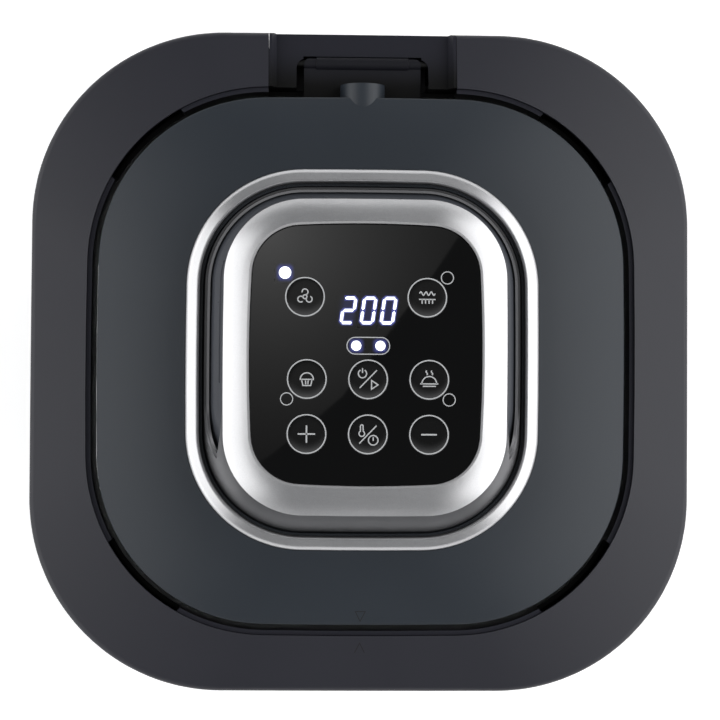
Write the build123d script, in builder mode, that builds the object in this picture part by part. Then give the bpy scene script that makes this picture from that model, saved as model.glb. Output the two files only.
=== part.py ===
from build123d import *
import math
import os

# Glass air fryer, millimetres, +Z up, front at -Y, origin under the centre of the base.

# Heights
foot_height = 8.0
base_height = 38.0
base_skirt = 3.0
bowl_height = 124.0
bowl_recess = 2.5
pad_height = 1.5
collar_height = 38.0
collar_fall = 7.0
lid_edge_rise = 2.0
dome_rise = 12.0
ring_sink = 2.0
ring_height = 4.4
pod_height = 37.0
bezel_rise = 5.0

# Plan outlines: half width, half depth, corner radius, bow of each side
collar_size = (160.0, 160.0, 93.0, 0.6)
base_size = (136.0, 136.0, 78.0, 1.0)
lid_size = (127.2, 127.2, 81.0, 2.9)
bowl_top_size = (120.4, 120.4, 75.0, 2.9)
bowl_bottom_size = (106.0, 106.0, 64.0, 2.4)
ring_size = (84.3, 90.9, 56.0, 1.5)
bezel_size = (65.6, 73.1, 37.0, 1.0)
glass_size = (53.5, 60.2, 23.0, 2.4)
glass_shift = 1.0
shield_size = (97.0, 97.0, 60.0, 2.0)

# Walls and plates
shell_wall = 2.6
collar_wall = 2.8
pod_wall = 2.0
bowl_wall = 4.5
bowl_floor = 6.0
rim_width = 6.0
rim_thickness = 5.0
sheet_wall = 1.0
base_cover_thickness = 2.5
flange_thickness = 2.5
lid_plate = 2.6
glass_thickness = 3.0
board_thickness = 1.6
base_floor = 3.0
cap_floor = 2.4
pod_ledge = 2.0

# Edge roundings
collar_edge_round = 3.0
collar_foot_chamfer = 2.0
base_edge_round = 7.0
bowl_foot_round = 18.0
rim_round = 2.0
ring_round = 2.0
lid_edge_round = 1.2
shield_round = 5.0
guard_round = 4.0
seal_round = 0.6
pod_round = 0.8
fine_edge = 0.4

# Working allowances: how far cuts run past a face, how far joined forms share, and the picking tolerance
past = 1.0
shared = 0.5
near = 0.01

# Gaps and clearances
lid_gap = 3.2
ledge_width = 2.3
ledge_drop = 2.0
ring_band = 6.8
ring_groove = 1.1
deck_width = 30.0
seat_gap = 0.2
soft_gap = 0.3
running_gap = 0.05
swing_gap = 0.4

# Back channel, hinge and boss
channel_half = 41.9
channel_flare = 2.3
channel_land = 1.4
channel_drop = 5.0
slot_half = 32.2
slot_corner = 5.0
tongue_half = 28.5
tongue_plate = 3.5
tongue_front = 108.0
tongue_corner = 4.0
barrel_half = 22.7
barrel_radius = 3.4
barrel_proud = 0.3
plate_below_crown = 2.1
hinge_y = 145.5
pin_radius = 2.0
pin_post_width = 6.0
pin_post_depth = 13.0
tongue_roll = 2.9
tongue_screw_place = (18.0, 113.5)
boss_radius = 10.8
boss_back = 134.0
boss_front = 112.0
boss_rise = 2.2

# Corner notches in the collar's inner ring
notch_half_angle = 8.85
notch_depth = 12.0
notch_length = 20.0

# Column
column_half = 43.0
column_front_y = 131.5
column_split_y = 151.0
column_back_y = 157.5
column_corner = 8.0
column_head = 4.0
spigot_margin = 0.4
spigot_inset = 4.0
spigot_corner = 4.0
column_foot_margin = 3.0
column_foot_start = 100.0

# Lead inlet on the back of the column
inlet_rise = 30.0
inlet_width = 28.0
inlet_tall = 21.0
inlet_depth = 20.0
inlet_ear = 10.0
inlet_lip = 2.5
inlet_corner = 3.0
inlet_key = 3.0
inlet_flange_thickness = 1.4
inlet_screw_radius = 2.4
inlet_screw_head = 1.0
inlet_screw_crown = 0.7
inlet_socket = (23.0, 16.0, 15.0)
inlet_pin = (4.0, 2.0, 13.0)
inlet_pin_spread = 7.0
inlet_pin_lift = 2.0

# Feet, pads and screws
foot_radius = 11.0
foot_place = 88.0
foot_taper = 4.0
pad_radius = 7.0
pad_place = 76.0
recess_gap = 2.0
base_slot_size = (60.0, 4.0)
base_slot_pitch = 14.0
base_slot_count = 7
base_screw_inset = 30.0
base_screw_along = 38.0
base_screw_reach = 16.0
lid_screw_inset = 20.2
lid_screw_along = 58.0
lid_screw_reach = 12.0
cap_screw_reach = 14.0
screw_radius = 1.5
screw_head_radius = 3.0
screw_head = 1.6
screw_post_radius = 4.6

# Fans and motor
fan_radius = 60.0
fan_hub_radius = 9.0
fan_height = 9.0
fan_blades = 12
fan_gap = 2.0
fan_sheet = 1.2
vane_thickness = 1.4
vane_start = 20.0
vane_middle = (40.0, 12.0)
vane_sweep = 34.0
shaft_radius = 3.0
shaft_hole_gap = 2.0
nut_radius = 5.5
nut_height = 4.0
cooling_fan_radius = 42.0
cooling_fan_height = 7.0
cooling_fan_gap = 2.5
cooling_blades = 9
motor_radius = 27.0
motor_height = 27.0
motor_chamfer = 2.0
bracket_thickness = 1.5
bracket_arm_width = 16.0
bracket_arm_lap = 4.0
bracket_rim = 3.0
bracket_hole_radius = 4.0
bracket_hole_ring = 17.0

# Shield, heater, probe and guard
shield_depth = 14.0
shield_draft = 4.0
sheet_flange = 5.0
heater_inner = 70.0
heater_outer = 86.0
heater_tube = 3.2
heater_below_plate = 1.5
heater_bend = 10.0
heater_start = 115.0
heater_end = 420.0
lead_rise = 5.0
clip_angles = (30.0, 180.0, 270.0)
clip_stem = (3.0, 8.0)
clip_grip = 5.0
probe_radius = 2.0
probe_angle = 225.0
probe_nut = (4.5, 3.0)
guard_depth = 13.0
guard_top_inset = 1.5
guard_foot_inset = 6.0
guard_slot_width = 5.0
guard_slots = ((68.0, 32.0, 30), (36.0, 22.0, 15))
seal_inset = 1.0
seal_width = 5.5

# Crisper plate in the bowl
crisper_lift = 12.0
crisper_thickness = 2.0
crisper_gap = 3.0
crisper_rim = 8.0
crisper_hole_pitch = 20.0
crisper_hole_count = 7
crisper_hole_radius = 4.0
bumper_radius = 5.0
bumper_inset = 14.0

# Lid dome: how much it bulges over a straight slope, and the outlines it passes through
dome_bulge = 0.4
dome_shares = (0.0, 0.35, 0.7, 1.0)

# Pod scoops, vents and push button
scoop_bottom = 5.5
scoop_top = 3.0
scoop_tip_y = -45.0
scoop_shoulder_y = -20.0
scoop_depth = 3.2
scoop_step = 1.5
scoop_step_depth = 0.8
scoop_bend = 0.62
scoop_lift = 0.28
scoop_tip_growth = 1.6
pod_lip = 8.0
liner_wall = 1.8
liner_margin = 9.0
vent_rows = 3
vent_pitch = 7.0
vent_height = 1.6
vent_front_y = -12.0
vent_back_y = 46.0
button_half = 18.0
button_thickness = 4.0
button_dish_radius = 60.0
button_dish = 1.5
button_travel = 2.5
button_margin = 2.0
stem_radius = 2.0
stem_spread = 11.0
stem_length = 9.0
carrier_thickness = 4.0
carrier_margin = 5.0
carrier_gap = 3.0
carrier_crest = 3.0
carrier_foot = 2.0
spring_wire = 0.5
spring_width = 8.0

# Bezel, boards and display
bezel_crown = 0.62
glass_frame_width = 1.2
glass_seat = 3.0
control_board_size = (92.0, 104.0)
control_board_corner = 6.0
control_board_drop = 6.0
spacer_radius = 3.5
spacer_places = [(38.0, 46.0), (38.0, -42.0)]
display_place = (0.8, 21.4)
display_size = (38.0, 18.0)
power_board_size = (72.0, 22.0)
power_board_shift = 5.0
power_board_lift = 4.0
power_board_inset = 5.0
power_post_radius = 2.5
power_part_height = 13.0
power_part_depth = 16.0
transformer = (-18.0, 22.0)
capacitor = (14.0, 6.0)
terminal = (28.0, 10.0)

# Heights that follow
base_bottom = foot_height - base_skirt
base_top = foot_height + base_height
recess_floor = base_top - bowl_recess
bowl_foot = recess_floor + pad_height
rim_top = bowl_foot + bowl_height
seal_bottom = rim_top + soft_gap
seal_height = 2.2
lid_plate_bottom = seal_bottom + seal_height
lid_plate_top = lid_plate_bottom + lid_plate
tongue_bottom = lid_plate_top + seat_gap
tongue_top = tongue_bottom + tongue_plate
hinge_z = tongue_top + plate_below_crown - barrel_radius
floor_at_hinge = tongue_top + plate_below_crown - barrel_proud

# Collar outlines and the height of its sloping top
opening_size = tuple(a + b for a, b in zip(lid_size, (lid_gap, lid_gap, lid_gap, 0)))
ledge_size = tuple(a + b for a, b in zip(opening_size, (ledge_width, ledge_width, ledge_width, 0)))
collar_slope = math.atan2(collar_fall, collar_size[1] - ledge_size[1])
collar_top_z = floor_at_hinge + channel_drop + (hinge_y - ledge_size[1]) * math.tan(collar_slope)
collar_edge_z = collar_top_z - collar_fall
collar_bottom = collar_top_z - collar_height
ledge_top = collar_top_z - ledge_drop
cap_half = channel_half + channel_flare + channel_land

# Lid and pod heights
lid_edge_z = collar_top_z + lid_edge_rise
dome_top = lid_edge_z + dome_rise
deck_top = dome_top - ring_sink
skirt_bottom = lid_plate_bottom + seat_gap
pod_bottom = deck_top + seat_gap
pod_top = pod_bottom + pod_height
bezel_bottom = pod_top + soft_gap
bezel_top = bezel_bottom + bezel_rise
glass_top = bezel_top - soft_gap
glass_bottom = glass_top - glass_thickness
shield_top = lid_plate_top + seat_gap + shield_depth


def grown(size, by):
    """The same outline, larger by the given width all round."""
    return (size[0] + by, size[1] + by, size[2] + by, size[3])


def between(first, last, share):
    """An outline part of the way from the first to the last."""
    return tuple(a + (b - a) * share for a, b in zip(first, last))


def soft_square(size):
    """A rounded square whose sides bow outwards."""
    half_x, half_y, corner, bow = size
    side_x = half_x - bow
    side_y = half_y - bow
    with BuildSketch() as outline:
        with BuildLine():
            ThreePointArc((-side_x, -side_y), (0, -half_y), (side_x, -side_y))
            ThreePointArc((side_x, -side_y), (half_x, 0), (side_x, side_y))
            ThreePointArc((side_x, side_y), (0, half_y), (-side_x, side_y))
            ThreePointArc((-side_x, side_y), (-half_x, 0), (-side_x, -side_y))
        make_face()
        fillet(outline.vertices(), corner)
    return outline.sketch


def prism(size, bottom, top, shift=0.0):
    """A straight block on an outline."""
    with BuildPart() as block:
        with BuildSketch(Plane.XY.offset(bottom)):
            with Locations((0, shift)):
                add(soft_square(size))
        extrude(amount=top - bottom)
    return block.part


def tapered(sections, ruled=True):
    """A block through outlines, each with its height and its shift to the back."""
    with BuildPart() as block:
        for height, size, shift in sections:
            with BuildSketch(Plane.XY.offset(height)):
                with Locations((0, shift)):
                    add(soft_square(size))
        loft(ruled=ruled)
    return block.part


def bar(x_range, y_range, z_range):
    """A plain block between limits."""
    with BuildPart() as block:
        with BuildSketch(Plane.XY.offset(z_range[0])):
            with Locations(((x_range[0] + x_range[1]) / 2, (y_range[0] + y_range[1]) / 2)):
                Rectangle(x_range[1] - x_range[0], y_range[1] - y_range[0])
        extrude(amount=z_range[1] - z_range[0])
    return block.part


def posts(places, radius, bottom, top):
    """Round posts at the given places."""
    with BuildPart() as group:
        with BuildSketch(Plane.XY.offset(bottom)):
            with Locations(*places):
                Circle(radius)
        extrude(amount=top - bottom)
    return group.part


def screws(places, head_bottom, reach):
    """Pan-head screws pointing up, heads at the bottom."""
    with BuildPart() as group:
        with BuildSketch(Plane.XY.offset(head_bottom)):
            with Locations(*places):
                Circle(screw_head_radius)
        extrude(amount=screw_head)
        with BuildSketch(Plane.XY.offset(head_bottom + screw_head)):
            with Locations(*places):
                Circle(screw_radius)
        extrude(amount=reach)
    return group.part


def mirrored(places):
    """Places on the right, repeated on the left."""
    return [(x, y) for x, y in places] + [(-x, y) for x, y in places]


def around(size, inset, along):
    """Eight places, two inside each side of an outline."""
    side = size[0] - inset
    end = size[1] - inset
    return mirrored([(side, along), (side, -along), (along, end), (along, -end)])


def finish(piece, name):
    """Label a piece and write its file."""
    piece.part.label = name
    export_step(piece.part, f"parts/{name}.step")


os.makedirs("parts", exist_ok=True)

# Base housing: rounded-square tub, open below, with the recess that the bowl stands in
base_screw_places = around(base_size, base_screw_inset, base_screw_along)
column_foot_half = column_half + column_foot_margin
column_foot_depth = column_back_y + past - column_foot_start
column_foot_y = column_foot_start + column_foot_depth / 2
cavity_top = recess_floor - base_floor


def foot_hollow(inset):
    """Outline inside the column's foot, at a distance from its sides and back."""
    with Locations((0, column_foot_y - inset / 2)):
        RectangleRounded(2 * (column_foot_half - inset), column_foot_depth - inset, column_corner - inset)


with BuildPart() as base_housing:
    add(prism(base_size, base_bottom, base_top))
    fillet(base_housing.edges().group_by(Axis.Z)[-1], base_edge_round)
    # Foot of the column, run out to the back
    with BuildSketch(Plane.XY.offset(base_bottom)):
        with Locations((0, column_foot_y)):
            RectangleRounded(2 * column_foot_half, column_foot_depth, column_corner)
    extrude(amount=base_height + base_skirt)
    add(prism(grown(base_size, -shell_wall), base_bottom - past, cavity_top), mode=Mode.SUBTRACT)
    with BuildSketch(Plane.XY.offset(base_bottom - past)):
        foot_hollow(shell_wall)
    extrude(amount=cavity_top - base_bottom + past, mode=Mode.SUBTRACT)
    add(prism(grown(bowl_bottom_size, recess_gap), recess_floor, base_top + past), mode=Mode.SUBTRACT)
    add(posts(base_screw_places, screw_post_radius, foot_height + base_cover_thickness, cavity_top + shared))
    add(
        posts(base_screw_places, screw_radius + running_gap, 0, foot_height + base_screw_reach + past),
        mode=Mode.SUBTRACT,
    )
finish(base_housing, "base_housing")

# Bottom cover with its ribs of slots and the feet's sockets
with BuildPart() as base_bottom_cover:
    add(prism(grown(base_size, -shell_wall - seat_gap), foot_height, foot_height + base_cover_thickness))
    with BuildSketch(Plane.XY.offset(foot_height)):
        with GridLocations(base_slot_pitch, 0, base_slot_count, 1):
            SlotOverall(base_slot_size[0], base_slot_size[1], rotation=90)
    extrude(amount=base_cover_thickness, mode=Mode.SUBTRACT)
    # Tail that closes the column's foot from below
    with BuildSketch(Plane.XY.offset(foot_height)):
        foot_hollow(shell_wall + seat_gap)
    extrude(amount=base_cover_thickness)
    add(
        posts(
            base_screw_places,
            screw_radius + running_gap,
            foot_height - past,
            foot_height + base_cover_thickness + past,
        ),
        mode=Mode.SUBTRACT,
    )
finish(base_bottom_cover, "base_bottom_cover")

with BuildPart() as rubber_feet:
    with BuildSketch(Plane.XY):
        with GridLocations(2 * foot_place, 2 * foot_place, 2, 2):
            Circle(foot_radius)
    extrude(amount=foot_height, taper=-foot_taper)
finish(rubber_feet, "rubber_feet")

with BuildPart() as base_screws:
    add(screws(base_screw_places, foot_height - screw_head, base_screw_reach))
finish(base_screws, "base_screws")

with BuildPart() as bowl_seat_pads:
    with BuildSketch(Plane.XY.offset(recess_floor)):
        with GridLocations(2 * pad_place, 2 * pad_place, 2, 2):
            Circle(pad_radius)
    extrude(amount=pad_height)
finish(bowl_seat_pads, "bowl_seat_pads")

# Glass bowl: tapered wall with a rounded foot and a flanged rim
rim_size = grown(bowl_top_size, rim_width)
with BuildPart() as glass_bowl:
    add(tapered([(bowl_foot, bowl_bottom_size, 0), (rim_top, bowl_top_size, 0)]))
    fillet(glass_bowl.edges().group_by(Axis.Z)[0], bowl_foot_round)
    add(prism(rim_size, rim_top - rim_thickness, rim_top))
    fillet(glass_bowl.edges().group_by(Axis.Z)[-1], rim_round)
    with BuildPart(mode=Mode.PRIVATE) as hollow:
        add(
            tapered(
                [
                    (bowl_foot + bowl_floor, grown(bowl_bottom_size, -bowl_wall), 0),
                    (rim_top + past, grown(bowl_top_size, -bowl_wall), 0),
                ]
            )
        )
        fillet(hollow.edges().group_by(Axis.Z)[0], bowl_foot_round - bowl_wall)
    add(hollow.part, mode=Mode.SUBTRACT)
finish(glass_bowl, "glass_bowl")

# Crisper plate on four silicone bumpers
crisper_bottom = bowl_foot + bowl_floor + crisper_lift
crisper_share = (crisper_bottom - bowl_foot - bowl_floor) / (bowl_height - bowl_floor)
crisper_size = grown(between(bowl_bottom_size, bowl_top_size, crisper_share), -bowl_wall - crisper_gap)
bumper_place = crisper_size[0] - crisper_size[2] * (1 - math.sqrt(0.5)) - bumper_inset
with BuildPart() as crisper_plate:
    # Plate with its rim turned up all round
    crisper_top = crisper_bottom + crisper_rim
    add(prism(crisper_size, crisper_bottom, crisper_top))
    crisper_inside = grown(crisper_size, -crisper_thickness)
    add(prism(crisper_inside, crisper_bottom + crisper_thickness, crisper_top + past), mode=Mode.SUBTRACT)
    with BuildSketch(Plane.XY.offset(crisper_bottom)):
        with GridLocations(crisper_hole_pitch, crisper_hole_pitch, crisper_hole_count, crisper_hole_count):
            RegularPolygon(crisper_hole_radius, 6)
    extrude(amount=crisper_thickness, mode=Mode.SUBTRACT)
finish(crisper_plate, "crisper_plate")

with BuildPart() as crisper_bumpers:
    with BuildSketch(Plane.XY.offset(bowl_foot + bowl_floor)):
        with GridLocations(2 * bumper_place, 2 * bumper_place, 2, 2):
            Circle(bumper_radius)
    extrude(amount=crisper_lift)
finish(crisper_bumpers, "crisper_bumpers")


def collar_form(inset, bottom):
    """The collar's full ring, outer wall and sloping top, drawn in by an inset."""
    outer = grown(collar_size, -inset)
    with BuildPart() as ring:
        add(prism(outer, bottom, collar_edge_z - inset))
        add(tapered([(collar_edge_z - inset, outer, 0), (collar_top_z - inset, ledge_size, 0)]))
        if inset == 0:
            rim = ring.edges().filter_by(lambda e: abs(e.center().Z - collar_edge_z) < near)
            fillet(rim, collar_edge_round)
            chamfer(ring.edges().group_by(Axis.Z)[0], collar_foot_chamfer)
    return ring.part


# Collar top: outer wall and sloping top in one moulding, gapped for the back channel
with BuildPart() as collar_top:
    add(collar_form(0, collar_bottom))
    add(collar_form(collar_wall, collar_bottom - past), mode=Mode.SUBTRACT)
    add(prism(ledge_size, collar_bottom - past, collar_top_z + past), mode=Mode.SUBTRACT)
    gap_half = cap_half + seat_gap
    collar_span = (collar_bottom - past, collar_top_z + past)
    add(
        bar((-gap_half, gap_half), (opening_size[1], collar_size[1] + past), collar_span),
        mode=Mode.SUBTRACT,
    )
finish(collar_top, "collar_top")

# Collar inner ring: upright wall round the opening and the flange that closes the collar below
column_middle = (column_front_y + column_back_y) / 2
post_inner = slot_half + seat_gap
post_outer = post_inner + pin_post_width
spigot = (2 * (post_outer + spigot_margin), column_back_y - column_front_y - 2 * spigot_inset)
with BuildPart() as collar_inner:
    add(prism(grown(ledge_size, -seat_gap), collar_bottom, ledge_top))
    add(prism(grown(collar_size, -collar_wall - seat_gap), collar_bottom, collar_bottom + flange_thickness))
    add(prism(opening_size, collar_bottom - past, ledge_top + past), mode=Mode.SUBTRACT)
    # Corner notches, one on each diagonal
    notch_reach = math.sqrt(2) * (ledge_size[0] - ledge_size[2]) + ledge_size[2]
    notch_width = 2 * notch_reach * math.sin(math.radians(notch_half_angle))
    with BuildSketch(Plane.XY.offset(ledge_top - notch_depth)):
        with PolarLocations(notch_reach, 4, start_angle=45):
            Rectangle(notch_length, notch_width)
    extrude(amount=notch_depth + past, mode=Mode.SUBTRACT)
    # Gap for the tongue and the channel piece
    add(
        bar(
            (-gap_half, gap_half),
            (opening_size[1] - opening_size[3], collar_size[1]),
            (lid_plate_bottom, collar_top_z),
        ),
        mode=Mode.SUBTRACT,
    )
    # Opening in the flange for the head of the column
    with BuildSketch(Plane.XY.offset(collar_bottom)):
        with Locations((0, column_middle)):
            RectangleRounded(spigot[0] + 2 * seat_gap, spigot[1] + 2 * seat_gap, spigot_corner)
    extrude(amount=flange_thickness, mode=Mode.SUBTRACT)
finish(collar_inner, "collar_inner")


def channel_floor_at(y):
    """Height of the channel's floor, parallel to the collar's top."""
    return collar_top_z - channel_drop - (y - ledge_size[1]) * math.tan(collar_slope)


# Channel piece: floor, flared walls and slot, with the two posts that hold the hinge pin
cap_wall_y = collar_size[1] - collar_wall
cap_hollow_y = ledge_size[1] + shell_wall
slot_back = hinge_y + math.sqrt((barrel_radius + swing_gap) ** 2 - (barrel_radius - barrel_proud) ** 2)
cap_screw_places = [(side * (post_inner + post_outer) / 2, hinge_y) for side in (-1, 1)]
with BuildPart() as column_cap:
    add(collar_form(0, collar_bottom))
    add(
        bar((-cap_half, cap_half), (ledge_size[1], collar_size[1] + past), collar_span),
        mode=Mode.INTERSECT,
    )
    flange_span = (collar_bottom - past, collar_bottom + flange_thickness + seat_gap)
    add(bar((-gap_half, gap_half), (0, cap_wall_y + seat_gap), flange_span), mode=Mode.SUBTRACT)
    # The channel, cut along the collar's slope
    along = Plane(
        origin=(0, ledge_size[1], collar_top_z),
        x_dir=(-1, 0, 0),
        z_dir=(0, math.cos(collar_slope), -math.sin(collar_slope)),
    )
    with BuildSketch(along):
        with BuildLine():
            Polyline(
                (-channel_half, -channel_drop),
                (channel_half, -channel_drop),
                (channel_half + 2 * channel_flare, channel_drop),
                (-channel_half - 2 * channel_flare, channel_drop),
                close=True,
            )
        make_face()
    extrude(amount=2 * (collar_size[1] - ledge_size[1]), both=True, mode=Mode.SUBTRACT)
    # Hollow under the floor
    with BuildSketch(Plane.YZ):
        with BuildLine():
            Polyline(
                (cap_hollow_y, collar_bottom - past),
                (cap_wall_y, collar_bottom - past),
                (cap_wall_y, channel_floor_at(cap_wall_y) - cap_floor),
                (cap_hollow_y, channel_floor_at(cap_hollow_y) - cap_floor),
                close=True,
            )
        make_face()
    extrude(amount=cap_half - shell_wall, both=True, mode=Mode.SUBTRACT)
    # Posts for the pin, down to the head of the column
    for side in (-1, 1):
        add(
            bar(
                tuple(sorted((side * post_inner, side * post_outer))),
                (hinge_y - pin_post_depth / 2, hinge_y + pin_post_depth / 2),
                (flange_span[1], channel_floor_at(hinge_y + pin_post_depth / 2) - cap_floor / 2),
            )
        )
    # Slot for the tongue and the round seat behind its barrel
    with BuildSketch(Plane.XY.offset(collar_bottom)):
        with Locations((0, slot_back)):
            slot_run = 2 * (slot_back - opening_size[1])
            RectangleRounded(2 * slot_half, slot_run, slot_corner, align=(Align.CENTER, Align.MAX))
    extrude(amount=collar_height, mode=Mode.SUBTRACT)
    with BuildSketch(Plane.YZ):
        with Locations((hinge_y, hinge_z)):
            Circle(barrel_radius + swing_gap)
    extrude(amount=tongue_half + swing_gap, both=True, mode=Mode.SUBTRACT)
    with BuildSketch(Plane.YZ):
        with Locations((hinge_y, hinge_z)):
            Circle(pin_radius + running_gap)
    extrude(amount=post_outer + past, both=True, mode=Mode.SUBTRACT)
    drill = screw_radius + running_gap
    add(posts(cap_screw_places, drill, collar_bottom, hinge_z - 2 * pin_radius), mode=Mode.SUBTRACT)
finish(column_cap, "column_cap")

with BuildPart() as hinge_pin:
    with BuildSketch(Plane.YZ):
        with Locations((hinge_y, hinge_z)):
            Circle(pin_radius)
    extrude(amount=post_outer, both=True)
    chamfer(hinge_pin.edges().filter_by(GeomType.CIRCLE), fine_edge)
finish(hinge_pin, "hinge_pin")

# Column: front moulding with its head, and the back cover
with BuildPart() as rear_column_front:
    with BuildSketch(Plane.XY.offset(base_top + seat_gap)):
        with Locations((0, column_middle)):
            RectangleRounded(2 * column_half, column_back_y - column_front_y, column_corner)
    extrude(amount=collar_bottom - base_top - 2 * seat_gap)
    with BuildSketch(Plane.XY.offset(collar_bottom - seat_gap)):
        with Locations((0, column_middle)):
            RectangleRounded(spigot[0], spigot[1], spigot_corner)
    extrude(amount=flange_thickness + seat_gap)
    column_sides = (-column_half - past, column_half + past)
    add(
        bar(column_sides, (column_split_y, column_back_y + past), (0, collar_bottom - 2 * seat_gap)),
        mode=Mode.SUBTRACT,
    )
    inner_half = column_half - shell_wall
    head_bottom = collar_bottom - column_head
    add(
        bar((-inner_half, inner_half), (column_front_y + shell_wall, column_back_y), (0, head_bottom)),
        mode=Mode.SUBTRACT,
    )
    spigot_top = collar_bottom + flange_thickness
    add(posts(cap_screw_places, drill, head_bottom - past, spigot_top + past), mode=Mode.SUBTRACT)
finish(rear_column_front, "rear_column_front")

inlet_z = base_top + inlet_rise
with BuildPart() as rear_column_cover:
    with BuildSketch(Plane.XY.offset(base_top + seat_gap)):
        with Locations((0, column_middle)):
            RectangleRounded(2 * column_half, column_back_y - column_front_y, column_corner)
    extrude(amount=collar_bottom - base_top - 4 * seat_gap)
    add(bar(column_sides, (0, column_split_y + seat_gap), (0, collar_bottom)), mode=Mode.SUBTRACT)
    inside = bar((-inner_half, inner_half), (0, column_back_y - shell_wall), (0, collar_bottom))
    add(inside, mode=Mode.SUBTRACT)
    with BuildSketch(Plane.XZ.offset(-column_back_y)):
        with Locations((0, inlet_z)):
            Rectangle(inlet_width + 2 * seat_gap, inlet_tall + 2 * seat_gap)
    extrude(amount=inlet_depth, mode=Mode.SUBTRACT)
finish(rear_column_cover, "rear_column_cover")

with BuildPart() as cap_screws:
    add(screws(cap_screw_places, head_bottom - screw_head, cap_screw_reach))
finish(cap_screws, "cap_screws")

# Lead inlet: flanged socket with three blades
inlet_face = column_back_y + inlet_flange_thickness
with BuildPart() as power_inlet:
    with BuildSketch(Plane.XZ.offset(-column_back_y)):
        with Locations((0, inlet_z)):
            RectangleRounded(inlet_width + 2 * inlet_ear, inlet_tall + 2 * inlet_lip, inlet_corner)
    extrude(amount=-inlet_flange_thickness)
    with BuildSketch(Plane.XZ.offset(-column_back_y)):
        with Locations((0, inlet_z)):
            Rectangle(inlet_width, inlet_tall)
    extrude(amount=inlet_depth)
    with BuildSketch(Plane.XZ.offset(-inlet_face)):
        with Locations((0, inlet_z)):
            Rectangle(inlet_socket[0], inlet_socket[1])
    extrude(amount=inlet_socket[2], mode=Mode.SUBTRACT)
    along_depth = power_inlet.edges().filter_by(Axis.Y)
    socket_edges = along_depth.filter_by(lambda e: abs(e.length - inlet_socket[2]) < near)
    chamfer(socket_edges.filter_by(lambda e: e.center().Z > inlet_z), inlet_key)
finish(power_inlet, "power_inlet")

with BuildPart() as inlet_pins:
    pin_root = inlet_face - inlet_socket[2]
    with BuildSketch(Plane.XZ.offset(-pin_root)):
        with Locations(
            (-inlet_pin_spread, inlet_z - inlet_pin_lift),
            (0, inlet_z + inlet_pin_lift),
            (inlet_pin_spread, inlet_z - inlet_pin_lift),
        ):
            Rectangle(inlet_pin[1], inlet_pin[0])
    extrude(amount=-inlet_pin[2])
finish(inlet_pins, "inlet_pins")

with BuildPart() as inlet_screws:
    with BuildSketch(Plane.XZ.offset(-inlet_face)):
        with Locations((0, inlet_z)):
            with GridLocations(inlet_width + inlet_ear, 0, 2, 1):
                Circle(inlet_screw_radius)
    extrude(amount=-inlet_screw_head)
    fillet(inlet_screws.edges().group_by(Axis.Y)[-1], inlet_screw_crown)
finish(inlet_screws, "inlet_screws")

# Lid plate: the lower ring that carries the hinge tongue, the shield, the guard and the seal
lid_screw_places = around(lid_size, lid_screw_inset, lid_screw_along)
tongue_screw_places = mirrored([tongue_screw_place])
with BuildPart() as lid_plate_ring:
    add(prism(grown(lid_size, -shell_wall - seat_gap), lid_plate_bottom, lid_plate_top))
    add(prism(shield_size, lid_plate_bottom - past, lid_plate_top + past), mode=Mode.SUBTRACT)
    plate_screw_places = lid_screw_places + tongue_screw_places
    add(posts(plate_screw_places, drill, lid_plate_bottom - past, lid_plate_top + past), mode=Mode.SUBTRACT)
finish(lid_plate_ring, "lid_plate_ring")

with BuildPart() as lid_seal:
    seal_size = grown(rim_size, -seal_inset)
    add(prism(seal_size, seal_bottom, lid_plate_bottom))
    add(prism(grown(seal_size, -seal_width), seal_bottom - past, lid_plate_bottom + past), mode=Mode.SUBTRACT)
    fillet(lid_seal.edges().group_by(Axis.Z)[0], seal_round)
finish(lid_seal, "lid_seal")


def dome_form(inset):
    """The lid's outer shape: upright skirt and a gently domed top up to the trim ring."""
    skirt = grown(lid_size, -inset)
    sections = []
    for share in dome_shares:
        climb = share * (1 + dome_bulge * (1 - share))
        sections.append((lid_edge_z - inset + dome_rise * climb, between(skirt, ring_size, share), 0))
    with BuildPart() as form:
        add(prism(skirt, skirt_bottom - inset, lid_edge_z - inset))
        add(tapered(sections, ruled=False))
        if inset == 0:
            edge = form.edges().filter_by(lambda e: abs(e.center().Z - lid_edge_z) < lid_edge_round / 4)
            fillet(edge, lid_edge_round)
    return form.part


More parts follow.
